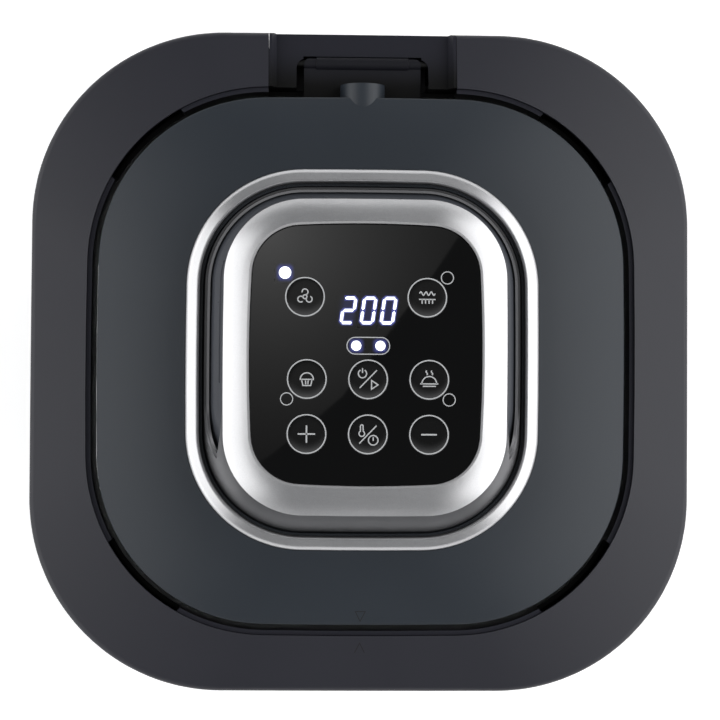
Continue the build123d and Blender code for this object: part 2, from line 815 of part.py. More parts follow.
# Lid cover: domed shell with the recess for the ring, the deck under the pod and the back boss
pod_size = grown(ring_size, -ring_band - ring_groove)
deck_opening = grown(pod_size, -deck_width)
boss_axis_z = lid_edge_z + boss_rise - boss_radius
tongue_window = tongue_half + swing_gap
with BuildPart() as lid_cover:
    add(dome_form(0))
    # Boss over the tongue
    with BuildSketch(Plane.XZ.offset(-boss_back)):
        with Locations((0, boss_axis_z)):
            Circle(boss_radius)
        with Locations((0, boss_axis_z)):
            Rectangle(2 * boss_radius, boss_axis_z - tongue_top - seat_gap, align=(Align.CENTER, Align.MAX))
        with Locations((0, tongue_top + seat_gap)):
            Rectangle(3 * boss_radius, 2 * boss_radius, align=(Align.CENTER, Align.MAX), mode=Mode.SUBTRACT)
    extrude(amount=boss_back - boss_front)
    add(dome_form(shell_wall), mode=Mode.SUBTRACT)
    add(prism(grown(ring_size, seat_gap), deck_top, dome_top + past), mode=Mode.SUBTRACT)
    add(prism(grown(ring_size, -shared), deck_top - shell_wall, deck_top))
    add(prism(deck_opening, lid_edge_z, dome_top + past), mode=Mode.SUBTRACT)
    # Posts for the lid's screws
    with BuildPart(mode=Mode.PRIVATE) as pillars:
        add(posts(lid_screw_places, screw_post_radius, lid_plate_top + seat_gap, dome_top))
        add(dome_form(shell_wall / 2), mode=Mode.INTERSECT)
    add(pillars.part)
    lid_drill_span = (lid_plate_top, lid_plate_bottom + lid_screw_reach + past)
    add(posts(lid_screw_places, drill, *lid_drill_span), mode=Mode.SUBTRACT)
    # Way out for the tongue
    window_span = (skirt_bottom - past, tongue_top + seat_gap)
    window_run = (tongue_front, boss_back + past)
    add(bar((-tongue_window, tongue_window), window_run, window_span), mode=Mode.SUBTRACT)
finish(lid_cover, "lid_cover")

with BuildPart() as lid_screws:
    add(screws(lid_screw_places, lid_plate_bottom - screw_head, lid_screw_reach))
finish(lid_screws, "lid_screws")

# Hinge tongue: plate screwed to the lid plate, with the barrel across its back
with BuildPart() as hinge_tongue:
    tongue_length = hinge_y - tongue_front
    with BuildSketch(Plane.XY.offset(tongue_bottom)):
        with Locations((0, tongue_front)):
            Rectangle(2 * tongue_half, tongue_length, align=(Align.CENTER, Align.MIN))
    extrude(amount=tongue_plate)
    # Back edge rolled round the pin, its corners rounded in plan
    with BuildSketch(Plane.YZ):
        with Locations((hinge_y, hinge_z)):
            Circle(tongue_roll)
    extrude(amount=tongue_half, both=True)
    with BuildSketch(Plane.XY.offset(hinge_z)):
        with Locations((0, hinge_y + tongue_roll)):
            RectangleRounded(2 * tongue_half, 2 * tongue_length, tongue_corner, align=(Align.CENTER, Align.MAX))
    extrude(amount=2 * barrel_radius, both=True, mode=Mode.INTERSECT)
    # Thicker barrel in the middle
    with BuildSketch(Plane.YZ):
        with Locations((hinge_y, hinge_z)):
            Circle(barrel_radius)
    extrude(amount=barrel_half, both=True)
    rounds = hinge_tongue.edges().filter_by(GeomType.CIRCLE)
    chamfer(rounds.filter_by(lambda e: abs(e.radius - barrel_radius) < near), fine_edge)
    with BuildSketch(Plane.YZ):
        with Locations((hinge_y, hinge_z)):
            Circle(pin_radius + running_gap)
    extrude(amount=tongue_half + past, both=True, mode=Mode.SUBTRACT)
    add(posts(tongue_screw_places, drill, tongue_bottom - past, tongue_top + past), mode=Mode.SUBTRACT)
finish(hinge_tongue, "hinge_tongue")

with BuildPart() as tongue_screws:
    add(screws(tongue_screw_places, lid_plate_bottom - screw_head, lid_plate + seat_gap + tongue_plate))
finish(tongue_screws, "tongue_screws")


def ring_point(radius, degrees, height):
    """A point on a circle round the fan's axis."""
    return (radius * math.cos(math.radians(degrees)), radius * math.sin(math.radians(degrees)), height)


# Heater: two rings of one tube, joined by a U-bend, with both ends bent up through the shield
heater_z = lid_plate_bottom - heater_below_plate
heater_middle = (heater_inner + heater_outer) / 2
lead_top = shield_top + lead_rise
ahead = (-math.sin(math.radians(heater_start)), math.cos(math.radians(heater_start)))


def lead_points(radius):
    """Top of a lead, start of its bend, middle of its bend and the ring point it meets."""
    meet = ring_point(radius, heater_start, heater_z)
    foot = (meet[0] - ahead[0] * heater_bend, meet[1] - ahead[1] * heater_bend)
    cut = heater_bend * (1 - math.sqrt(0.5))
    middle = (foot[0] + ahead[0] * cut, foot[1] + ahead[1] * cut, heater_z + cut)
    return (foot[0], foot[1], lead_top), (foot[0], foot[1], heater_z + heater_bend), middle, meet


outer_top, outer_bend, outer_middle, outer_meet = lead_points(heater_outer)
inner_top, inner_bend, inner_middle, inner_meet = lead_points(heater_inner)
turn = ring_point(heater_middle, heater_end, heater_z)
turn_radius = (heater_outer - heater_inner) / 2
turn_far = (
    turn[0] - math.sin(math.radians(heater_end)) * turn_radius,
    turn[1] + math.cos(math.radians(heater_end)) * turn_radius,
    heater_z,
)
quarter = (heater_end - heater_start) / 4
with BuildPart() as heater_coil:
    with BuildLine() as heater_run:
        Line(outer_top, outer_bend)
        ThreePointArc(outer_bend, outer_middle, outer_meet)
        for step in (1, 3):
            ThreePointArc(
                ring_point(heater_outer, heater_start + quarter * (step - 1), heater_z),
                ring_point(heater_outer, heater_start + quarter * step, heater_z),
                ring_point(heater_outer, heater_start + quarter * (step + 1), heater_z),
            )
        ThreePointArc(
            ring_point(heater_outer, heater_end, heater_z),
            turn_far,
            ring_point(heater_inner, heater_end, heater_z),
        )
        for step in (3, 1):
            ThreePointArc(
                ring_point(heater_inner, heater_start + quarter * (step + 1), heater_z),
                ring_point(heater_inner, heater_start + quarter * step, heater_z),
                ring_point(heater_inner, heater_start + quarter * (step - 1), heater_z),
            )
        ThreePointArc(inner_meet, inner_middle, inner_bend)
        Line(inner_bend, inner_top)
    with BuildSketch(Plane(origin=outer_top, z_dir=(0, 0, -1))):
        Circle(heater_tube)
    sweep()
finish(heater_coil, "heater_coil")

# Clips that hang the heater from the shield
clip_places = [ring_point(heater_middle, angle, 0)[:2] for angle in clip_angles]
clip_foot_top = heater_z - heater_tube - soft_gap
with BuildPart() as heater_clips:
    for angle, place in zip(clip_angles, clip_places):
        with BuildSketch(Plane.XY.offset(clip_foot_top)):
            with Locations(Location((place[0], place[1], 0), (0, 0, angle))):
                Rectangle(clip_stem[0], clip_stem[1])
        extrude(amount=shield_top - sheet_wall - clip_foot_top)
        with BuildSketch(Plane.XY.offset(clip_foot_top)):
            with Locations(Location((place[0], place[1], 0), (0, 0, angle))):
                Rectangle(turn_radius * 2 + clip_grip, clip_stem[1])
        extrude(amount=-sheet_wall)
finish(heater_clips, "heater_clips")

# Temperature probe between the heater's rings
probe_place = ring_point(heater_middle, probe_angle, 0)[:2]
with BuildPart() as temperature_probe:
    with BuildSketch(Plane.XY.offset(heater_z - heater_tube)):
        with Locations(probe_place):
            Circle(probe_radius)
    extrude(amount=lead_top - heater_z + heater_tube)
    fillet(temperature_probe.edges().group_by(Axis.Z)[0], probe_radius * 0.8)
    with BuildSketch(Plane.XY.offset(shield_top)):
        with Locations(probe_place):
            RegularPolygon(probe_nut[0], 6)
    extrude(amount=probe_nut[1])
finish(temperature_probe, "temperature_probe")

# Heat shield: pressed tray over the fan, flanged onto the lid plate
with BuildPart() as heat_shield:
    add(tapered([(lid_plate_top, shield_size, 0), (shield_top, grown(shield_size, -shield_draft), 0)]))
    fillet(heat_shield.edges().group_by(Axis.Z)[-1], shield_round)
    add(prism(grown(shield_size, sheet_flange), lid_plate_top, lid_plate_top + sheet_wall))
    with BuildPart(mode=Mode.PRIVATE) as tray:
        add(
            tapered(
                [
                    (lid_plate_top - past, grown(shield_size, -sheet_wall), 0),
                    (shield_top - sheet_wall, grown(shield_size, -shield_draft - sheet_wall), 0),
                ]
            )
        )
        fillet(tray.edges().group_by(Axis.Z)[-1], shield_round - sheet_wall)
    add(tray.part, mode=Mode.SUBTRACT)
    with BuildSketch(Plane.XY.offset(shield_top - sheet_wall - past)):
        Circle(shaft_radius + shaft_hole_gap)
        with Locations(outer_top[:2], inner_top[:2]):
            Circle(heater_tube + soft_gap)
        with Locations(probe_place):
            Circle(probe_radius + seat_gap)
    extrude(amount=sheet_wall + 2 * past, mode=Mode.SUBTRACT)
finish(heat_shield, "heat_shield")

# Guard under the heater: pressed dish with two rings of radial slots
guard_bottom = lid_plate_bottom - guard_depth
guard_top_size = grown(shield_size, -guard_top_inset)
guard_low_size = grown(shield_size, -guard_foot_inset)
with BuildPart() as heater_guard:
    add(tapered([(guard_bottom, guard_low_size, 0), (lid_plate_bottom, guard_top_size, 0)]))
    fillet(heater_guard.edges().group_by(Axis.Z)[0], guard_round)
    add(prism(grown(shield_size, sheet_flange), lid_plate_bottom - sheet_wall, lid_plate_bottom))
    with BuildPart(mode=Mode.PRIVATE) as dish:
        add(
            tapered(
                [
                    (guard_bottom + sheet_wall, grown(guard_low_size, -sheet_wall), 0),
                    (lid_plate_bottom + past, grown(guard_top_size, -sheet_wall), 0),
                ]
            )
        )
        fillet(dish.edges().group_by(Axis.Z)[0], guard_round - sheet_wall)
    add(dish.part, mode=Mode.SUBTRACT)
    with BuildSketch(Plane.XY.offset(guard_bottom - past)):
        for slot_ring, slot_length, slot_count in guard_slots:
            with PolarLocations(slot_ring, slot_count):
                Rectangle(slot_length, guard_slot_width)
    extrude(amount=sheet_wall + 2 * past, mode=Mode.SUBTRACT)
finish(heater_guard, "heater_guard")

# Convection fan: backplate, hub and curved vanes
def vane_outline():
    """One curved vane, seen from above."""
    with BuildSketch() as vane:
        with BuildLine():
            ThreePointArc(
                ring_point(vane_start, 0, 0)[:2],
                ring_point(*vane_middle, 0)[:2],
                ring_point(fan_radius - vane_thickness, vane_sweep, 0)[:2],
            )
        trace(line_width=vane_thickness)
    return vane.sketch


fan_top = shield_top - sheet_wall - fan_gap
fan_bottom = fan_top - fan_height
with BuildPart() as convection_fan:
    with BuildSketch(Plane.XY.offset(fan_top - fan_sheet)):
        Circle(fan_radius)
    extrude(amount=fan_sheet)
    with BuildSketch(Plane.XY.offset(fan_bottom)):
        Circle(fan_hub_radius)
    extrude(amount=fan_height)
    with BuildSketch(Plane.XY.offset(fan_bottom + past)):
        with PolarLocations(0, fan_blades):
            add(vane_outline())
    extrude(amount=fan_height - past)
    with BuildSketch(Plane.XY.offset(fan_bottom)):
        Circle(shaft_radius)
    extrude(amount=fan_height, mode=Mode.SUBTRACT)
finish(convection_fan, "convection_fan")

with BuildPart() as fan_nut:
    with BuildSketch(Plane.XY.offset(fan_bottom - nut_height)):
        RegularPolygon(nut_radius, 6)
        Circle(shaft_radius, mode=Mode.SUBTRACT)
    extrude(amount=nut_height)
    chamfer(fan_nut.edges().group_by(Axis.Z)[0].filter_by(GeomType.LINE), fine_edge)
finish(fan_nut, "fan_nut")

# Cooling fan above the shield, on the same shaft
cooling_bottom = shield_top + cooling_fan_gap
with BuildPart() as cooling_fan:
    with BuildSketch(Plane.XY.offset(cooling_bottom)):
        Circle(cooling_fan_radius)
    extrude(amount=fan_sheet)
    with BuildSketch(Plane.XY.offset(cooling_bottom)):
        Circle(fan_hub_radius)
        with PolarLocations((cooling_fan_radius + fan_hub_radius) / 2 - past, cooling_blades):
            Rectangle(cooling_fan_radius - fan_hub_radius, vane_thickness)
    extrude(amount=cooling_fan_height)
    with BuildSketch(Plane.XY.offset(cooling_bottom)):
        Circle(shaft_radius)
    extrude(amount=cooling_fan_height, mode=Mode.SUBTRACT)
finish(cooling_fan, "cooling_fan")

# Motor on its bracket over the deck's opening
bracket_arm = (deck_opening[0] + bracket_arm_lap, deck_opening[1] + bracket_arm_lap)
motor_bottom = deck_top + bracket_thickness
with BuildPart() as motor_bracket:
    with BuildSketch(Plane.XY.offset(deck_top)):
        Rectangle(2 * bracket_arm[0], bracket_arm_width)
        Rectangle(bracket_arm_width, 2 * bracket_arm[1])
        Circle(motor_radius + bracket_rim)
        Circle(shaft_radius + shaft_hole_gap, mode=Mode.SUBTRACT)
        with PolarLocations(bracket_hole_ring, 4, start_angle=45):
            Circle(bracket_hole_radius, mode=Mode.SUBTRACT)
    extrude(amount=bracket_thickness)
finish(motor_bracket, "motor_bracket")

with BuildPart() as fan_motor:
    with BuildSketch(Plane.XY.offset(motor_bottom)):
        Circle(motor_radius)
    extrude(amount=motor_height)
    chamfer(fan_motor.edges().filter_by(GeomType.CIRCLE), motor_chamfer)
    with BuildSketch(Plane.XY.offset(motor_bottom)):
        Circle(shaft_radius + running_gap)
    extrude(amount=motor_height, mode=Mode.SUBTRACT)
finish(fan_motor, "fan_motor")

with BuildPart() as motor_shaft:
    shaft_bottom = fan_bottom - nut_height - past
    with BuildSketch(Plane.XY.offset(shaft_bottom)):
        Circle(shaft_radius)
    extrude(amount=motor_bottom + motor_height - shaft_bottom)
    chamfer(motor_shaft.edges().filter_by(GeomType.CIRCLE), fine_edge)
finish(motor_shaft, "motor_shaft")

with BuildPart() as lid_trim_ring:
    add(prism(ring_size, deck_top, deck_top + ring_height))
    ring_inside = grown(ring_size, -ring_band)
    add(prism(ring_inside, deck_top - past, deck_top + ring_height + past), mode=Mode.SUBTRACT)
    fillet(lid_trim_ring.edges().group_by(Axis.Z)[-1], ring_round)
finish(lid_trim_ring, "lid_trim_ring")


def pod_at(height):
    """The pod's outline at a height."""
    return between(pod_size, bezel_size, (height - pod_bottom) / pod_height)


def scoop_profile(grow):
    """Side view of the pod's scoop: open to the back, pointed at the front."""
    low = pod_bottom + scoop_bottom - grow
    high = pod_top - scoop_top + grow
    middle = (low + high) / 2
    tip = scoop_tip_y - scoop_tip_growth * grow
    bend = scoop_shoulder_y + scoop_bend * (tip - scoop_shoulder_y)
    lift = scoop_lift * (middle - low)
    far = pod_size[1] + pod_height
    with BuildSketch(Plane.YZ) as profile:
        with BuildLine():
            Polyline((scoop_shoulder_y, low), (far, low), (far, high), (scoop_shoulder_y, high))
            ThreePointArc((scoop_shoulder_y, high), (bend, high - lift), (tip, middle))
            ThreePointArc((tip, middle), (bend, low + lift), (scoop_shoulder_y, low))
        make_face()
    return profile.sketch


# Pod shell: sloping wall with a stepped scoop on both sides and across the back
pod_across = pod_size[0] + past
liner_inset = pod_wall + seat_gap
with BuildPart() as pod_shell:
    add(tapered([(pod_bottom, pod_size, 0), (pod_top, bezel_size, 0)]))
    fillet(pod_shell.edges().group_by(Axis.Z)[-1], pod_round)
    with BuildPart(mode=Mode.PRIVATE) as pod_step:
        add(tapered([(pod_bottom, grown(pod_size, past), 0), (pod_top, grown(bezel_size, past), 0)]))
        add(
            tapered(
                [
                    (pod_bottom, grown(pod_size, -scoop_step_depth), 0),
                    (pod_top, grown(bezel_size, -scoop_step_depth), 0),
                ]
            ),
            mode=Mode.SUBTRACT,
        )
        extrude(scoop_profile(scoop_step), amount=pod_across + past, both=True, mode=Mode.INTERSECT)
    add(pod_step.part, mode=Mode.SUBTRACT)
    add(
        tapered(
            [(pod_bottom + pod_ledge, grown(pod_at(pod_bottom + pod_ledge), -pod_wall), 0),
             (pod_top, grown(bezel_size, -pod_wall), 0)]
        ),
        mode=Mode.SUBTRACT,
    )
    pod_mouth = grown(pod_size, -pod_wall - pod_lip)
    add(prism(pod_mouth, pod_bottom - past, pod_bottom + pod_ledge + past), mode=Mode.SUBTRACT)
    extrude(scoop_profile(0), amount=pod_across, both=True, mode=Mode.SUBTRACT)
finish(pod_shell, "pod_shell")

# Liner behind the scoops: waisted for the fingers, with rows of vents on both sides
liner_bottom = pod_bottom + pod_ledge + seat_gap
liner_top = pod_top - seat_gap
liner_middle = (liner_bottom + liner_top) / 2


def liner_form(inset):
    """The liner's waisted outer shape, drawn in by an inset."""
    return tapered(
        [
            (liner_bottom, grown(pod_at(liner_bottom), -liner_inset - inset), 0),
            (liner_middle, grown(pod_at(liner_middle), -liner_inset - scoop_depth - inset), 0),
            (liner_top, grown(pod_at(liner_top), -liner_inset - inset), 0),
        ],
        ruled=False,
    )


button_low = pod_bottom + scoop_bottom + button_margin
button_high = pod_top - scoop_top - button_margin
back_region = (pod_size[1] / 2, pod_size[1] + past)
with BuildPart() as pod_liner:
    add(liner_form(0))
    add(liner_form(liner_wall), mode=Mode.SUBTRACT)
    add(
        bar((-pod_across, pod_across), (scoop_tip_y - liner_margin, pod_size[1]), (liner_bottom, liner_top)),
        mode=Mode.INTERSECT,
    )
    with BuildSketch(Plane.YZ):
        with Locations(((vent_front_y + vent_back_y) / 2, liner_middle)):
            with GridLocations(0, vent_pitch, 1, vent_rows):
                SlotOverall(vent_back_y - vent_front_y, vent_height)
    extrude(amount=pod_across, both=True, mode=Mode.SUBTRACT)
    window_half = button_half + soft_gap
    window_tall = (button_low - soft_gap, button_high + soft_gap)
    add(bar((-window_half, window_half), back_region, window_tall), mode=Mode.SUBTRACT)
finish(pod_liner, "pod_liner")

# Push button in the pod's back, dished, on two stems
with BuildPart() as release_button:
    add(liner_form(0))
    add(liner_form(button_thickness), mode=Mode.SUBTRACT)
    add(bar((-button_half, button_half), back_region, (button_low, button_high)), mode=Mode.INTERSECT)
    button_face_y = pod_at(liner_middle)[1] - liner_inset - scoop_depth
    with BuildSketch(Plane.XY.offset(button_low)):
        with Locations((0, button_face_y + button_dish_radius - button_dish)):
            Circle(button_dish_radius)
    extrude(amount=button_high - button_low, mode=Mode.SUBTRACT)
    stem_root = button_face_y - button_thickness + shared
    with BuildSketch(Plane.XZ.offset(-stem_root)):
        with Locations((-stem_spread, liner_middle), (stem_spread, liner_middle)):
            Circle(stem_radius)
    extrude(amount=stem_length + shared)
finish(release_button, "release_button")

carrier_back = button_face_y - button_thickness - button_travel - carrier_gap
carrier_half = stem_spread + carrier_margin
with BuildPart() as button_carrier:
    carrier_front = carrier_back - carrier_thickness
    carrier_top = liner_middle + stem_radius + carrier_crest
    add(bar((-carrier_half, carrier_half), (carrier_front, carrier_back), (deck_top, carrier_top)))
    add(
        bar(
            (-carrier_half, carrier_half),
            (carrier_front - bracket_thickness, carrier_back),
            (deck_top, deck_top + carrier_foot),
        )
    )
    with BuildSketch(Plane.XZ.offset(-carrier_back)):
        with Locations((-stem_spread, liner_middle), (stem_spread, liner_middle)):
            Circle(stem_radius + running_gap)
    extrude(amount=carrier_thickness, mode=Mode.SUBTRACT)
finish(button_carrier, "button_carrier")

# Bowed leaf spring between the carrier and the button
with BuildPart() as button_spring:
    spring_reach = stem_spread - stem_radius - past
    spring_foot = carrier_back + spring_wire
    spring_crest = button_face_y - button_thickness - button_dish
    with BuildSketch(Plane.XY.offset(liner_middle - spring_width / 2)):
        with BuildLine():
            ThreePointArc((-spring_reach, spring_foot), (0, spring_crest), (spring_reach, spring_foot))
            Line((spring_reach, spring_foot), (spring_reach, carrier_back))
            ThreePointArc(
                (spring_reach, carrier_back),
                (0, spring_crest - spring_wire),
                (-spring_reach, carrier_back),
            )
            Line((-spring_reach, carrier_back), (-spring_reach, spring_foot))
        make_face()
    extrude(amount=spring_width)
finish(button_spring, "button_spring")

# Silver bezel: crowned ring that holds the glass, with posts for the control board
board_top = glass_bottom - control_board_drop
glass_frame = grown(glass_size, glass_frame_width)
bezel_middle = between(bezel_size, glass_frame, 0.5)
with BuildPart() as pod_bezel:
    add(
        tapered(
            [
                (bezel_bottom, bezel_size, 0),
                (bezel_bottom + bezel_crown * bezel_rise, bezel_middle, glass_shift / 2),
                (bezel_top, glass_frame, glass_shift),
            ],
            ruled=False,
        )
    )
    add(
        tapered(
            [
                (bezel_bottom, grown(bezel_size, -pod_wall), 0),
                (bezel_top - pod_wall - glass_thickness, grown(glass_frame, -shared), glass_shift),
            ]
        ),
        mode=Mode.SUBTRACT,
    )
    add(prism(grown(glass_size, seat_gap), glass_bottom, bezel_top + past, glass_shift), mode=Mode.SUBTRACT)
    bezel_window = grown(glass_size, -glass_seat)
    add(prism(bezel_window, bezel_bottom - past, bezel_top, glass_shift), mode=Mode.SUBTRACT)
finish(pod_bezel, "pod_bezel")

with BuildPart() as touch_glass:
    add(prism(glass_size, glass_bottom, glass_top, glass_shift))
    chamfer(touch_glass.edges().group_by(Axis.Z)[-1], fine_edge)
finish(touch_glass, "touch_glass")

with BuildPart() as control_board:
    with BuildSketch(Plane.XY.offset(board_top - board_thickness)):
        with Locations((0, glass_shift)):
            RectangleRounded(control_board_size[0], control_board_size[1], control_board_corner)
    extrude(amount=board_thickness)
    # Spacers between the board and the glass's frame
    shifted_places = [(x, y + glass_shift) for x, y in mirrored(spacer_places)]
    add(posts(shifted_places, spacer_radius, board_top, glass_bottom - seat_gap))
finish(control_board, "control_board")

with BuildPart() as display_module:
    with BuildSketch(Plane.XY.offset(board_top)):
        with Locations(display_place):
            Rectangle(display_size[0], display_size[1])
    extrude(amount=glass_bottom - board_top - seat_gap)
finish(display_module, "display_module")

with BuildPart() as power_board:
    board_y = power_board_shift - (deck_opening[1] + pod_size[1]) / 2
    post_pitch = (power_board_size[0] - 2 * power_board_inset, power_board_size[1] - 2 * power_board_inset)
    with BuildSketch(Plane.XY.offset(deck_top)):
        with Locations((0, board_y)):
            with GridLocations(post_pitch[0], post_pitch[1], 2, 2):
                Circle(power_post_radius)
    extrude(amount=power_board_lift)
    with BuildSketch(Plane.XY.offset(deck_top + power_board_lift)):
        with Locations((0, board_y)):
            Rectangle(power_board_size[0], power_board_size[1])
    extrude(amount=board_thickness)
    # Transformer, capacitor and terminal block
    with BuildSketch(Plane.XY.offset(deck_top + power_board_lift + board_thickness)):
        with Locations((transformer[0], board_y)):
            Rectangle(transformer[1], power_part_depth)
        with Locations((capacitor[0], board_y)):
            Circle(capacitor[1])
        with Locations((terminal[0], board_y)):
            Rectangle(terminal[1], power_part_depth)
    extrude(amount=power_part_height)
finish(power_board, "power_board")
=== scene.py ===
import math

import bmesh
import bpy
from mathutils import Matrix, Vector


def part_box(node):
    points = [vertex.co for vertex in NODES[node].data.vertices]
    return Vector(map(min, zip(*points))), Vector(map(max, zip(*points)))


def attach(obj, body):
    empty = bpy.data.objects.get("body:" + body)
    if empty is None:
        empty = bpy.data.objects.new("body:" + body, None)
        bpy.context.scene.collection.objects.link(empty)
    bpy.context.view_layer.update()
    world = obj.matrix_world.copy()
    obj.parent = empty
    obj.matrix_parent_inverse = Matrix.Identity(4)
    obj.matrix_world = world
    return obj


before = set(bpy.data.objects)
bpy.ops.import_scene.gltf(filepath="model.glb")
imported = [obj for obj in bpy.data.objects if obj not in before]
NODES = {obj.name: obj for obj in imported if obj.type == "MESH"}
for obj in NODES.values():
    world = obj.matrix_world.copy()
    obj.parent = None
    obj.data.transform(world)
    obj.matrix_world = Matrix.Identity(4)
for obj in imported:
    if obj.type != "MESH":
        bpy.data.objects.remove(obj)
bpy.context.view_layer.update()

bl_info = {
    "name": "Glass Air Fryer Dressing",
    "version": (1, 0, 0),
    "blender": (4, 5, 0),
    "location": "View3D > Sidebar > Air Fryer",
    "description": "Finishes, panel marks and studio for a countertop air fryer with a glass bowl",
    "category": "Object",
}

GLASS_LOW, GLASS_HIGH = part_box("touch_glass")
GLASS_TOP = GLASS_HIGH[2]
PANEL_X = (GLASS_LOW[0] + GLASS_HIGH[0]) / 2
PANEL_Y = (GLASS_LOW[1] + GLASS_HIGH[1]) / 2
LID_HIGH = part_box("lid_cover")[1]

MILLIMETRE = 0.001
# Thickness of a printed mark.
INK = 0.00003
# Width of the lines of a key's icon, in millimetres.
ICON_LINE = 0.55
# How much wider the lines of the plus and minus signs are.
BOLD = 1.3
# Reach and strength of the light that spills round a lamp and round a digit.
LAMP_HAZE = (0.0020, 0.40)
DIGIT_HAZE = (0.0024, 0.04)
# Extra width and strength of the even band of light along a digit's bars.
FRINGE_WIDTH = 0.0010
FRINGE_STRENGTH = 0.30
# Strength of a lit lamp or bar.
LIT_STRENGTH = 1.6
# Colours that give back next to no light: the black under surfaces that only give light of their
# own, and the black of painted shade in grooves and gaps.
NO_LIGHT = (0.0, 0.0, 0.0, 1.0)
PAINTED_SHADE_BLACK = (0.0008, 0.0008, 0.0009, 1.0)
# Depths below the ledge's top at which its painted shade is black and at which it has its full
# colour.
LEDGE_SHADE = (0.0016, 0.0004)
# Depths below the bowl's rim between which painted shade turns its glass dark.
RIM_SHADE = (0.0045, 0.004)
# Lengths over which painted shade darkens the cap and the tongue towards the lid's edge.
CAP_SHADE = 0.021
TONGUE_SHADE = 0.010
# Height above the lid where the pod's foot leaves its groove, and the length over which its
# painted shade fades.
FOOT_RISE = 0.0016
FOOT_SHADE = 0.002
# Half height and line width of an alignment mark, and the places of the two marks.
MARK_HALF = 0.0024
MARK_LINE = 0.0004
LID_MARK_Y = -0.1229
COLLAR_MARK_Y = -0.1385
# Sizes of the two softboxes, of the floor and of its raised rim.
LEFT_SIZE = (2.3, 1.2)
RIGHT_SIZE = (2.6, 1.3)
FLOOR_HALF = 5.0
RIM_HEIGHT = 2.5
# Distances between which the floor's own light rises to its far level.
FLOOR_FADE = (0.8, 3.0)
# Where the mirrored card's edge crosses the touch glass, from upper right to lower left.
CARD_EDGE = (
    (0.0500, 0.0680),
    (0.0425, 0.0560),
    (0.0310, 0.0385),
    (0.0150, 0.0175),
    (-0.0105, -0.0180),
    (-0.0255, -0.0310),
    (-0.0425, -0.0445),
    (-0.0600, -0.0570),
)
# The card's other corners, the offset of its brightest place and the length over which it fades.
CARD_BACK = [(-0.40, -0.10), (-0.40, 0.45), (0.20, 0.45)]
CARD_BRIGHT = (-0.20, -0.02)
CARD_FALL = 0.11


def metres(title, text, value):
    """A length setting."""
    return bpy.props.FloatProperty(
        name=title, description=text, default=value, unit="LENGTH", precision=5
    )


def tint(title, text, value):
    """A colour setting."""
    return bpy.props.FloatVectorProperty(
        name=title, description=text, default=value, subtype="COLOR", size=3, min=0.0, max=1.0
    )


def amount(title, text, value):
    """A plain number setting."""
    return bpy.props.FloatProperty(name=title, description=text, default=value, precision=4)


def spot(title, text, value):
    """The setting of a place in the room."""
    return bpy.props.FloatVectorProperty(
        name=title, description=text, default=value, subtype="TRANSLATION"
    )


class FryerFinishes(bpy.types.PropertyGroup):
    """Colours and textures of the air fryer's surfaces."""

    collar: tint("Collar", "Purple-grey of the collar, base and column", (0.0200, 0.0205, 0.0290))
    lid: tint("Lid", "Blue-grey of the lid cover", (0.0190, 0.0255, 0.0345))
    dark: tint("Dark plastic", "Near-black of the inner mouldings", (0.0050, 0.0050, 0.0060))
    pod: tint("Pod liner", "Dark blue-grey behind the pod's scoops", (0.0800, 0.0860, 0.1000))
    silver: tint("Silver", "Satin silver of the ring, pod and bezel", (0.66, 0.66, 0.67))
    gunmetal: tint("Gunmetal", "Dark metallic lacquer of the pod's wall", (0.28, 0.28, 0.29))
    steel: tint("Steel", "Screws, guard and shield", (0.52, 0.52, 0.52))
    brass: tint("Brass", "Inlet pins", (0.72, 0.56, 0.30))
    rubber: tint("Rubber", "Feet", (0.018, 0.018, 0.019))
    silicone: tint("Silicone", "Lid seal, bowl pads and bumpers", (0.035, 0.035, 0.037))
    coating: tint("Coating", "Non-stick coat of the crisper plate", (0.022, 0.022, 0.024))
    glaze: tint("Panel glass", "Black of the touch panel", (0.0008, 0.0008, 0.0008))
    bowl: tint("Bowl glass", "Faint green of the bowl's glass", (0.910, 0.948, 0.942))
    board: tint("Circuit board", "Green of the boards", (0.012, 0.09, 0.045))
    grain: metres("Grain", "Size of the moulded grain on the plastics", 0.00035)
    flake: metres("Flake", "Size of the flakes in the silver finish", 0.00022)


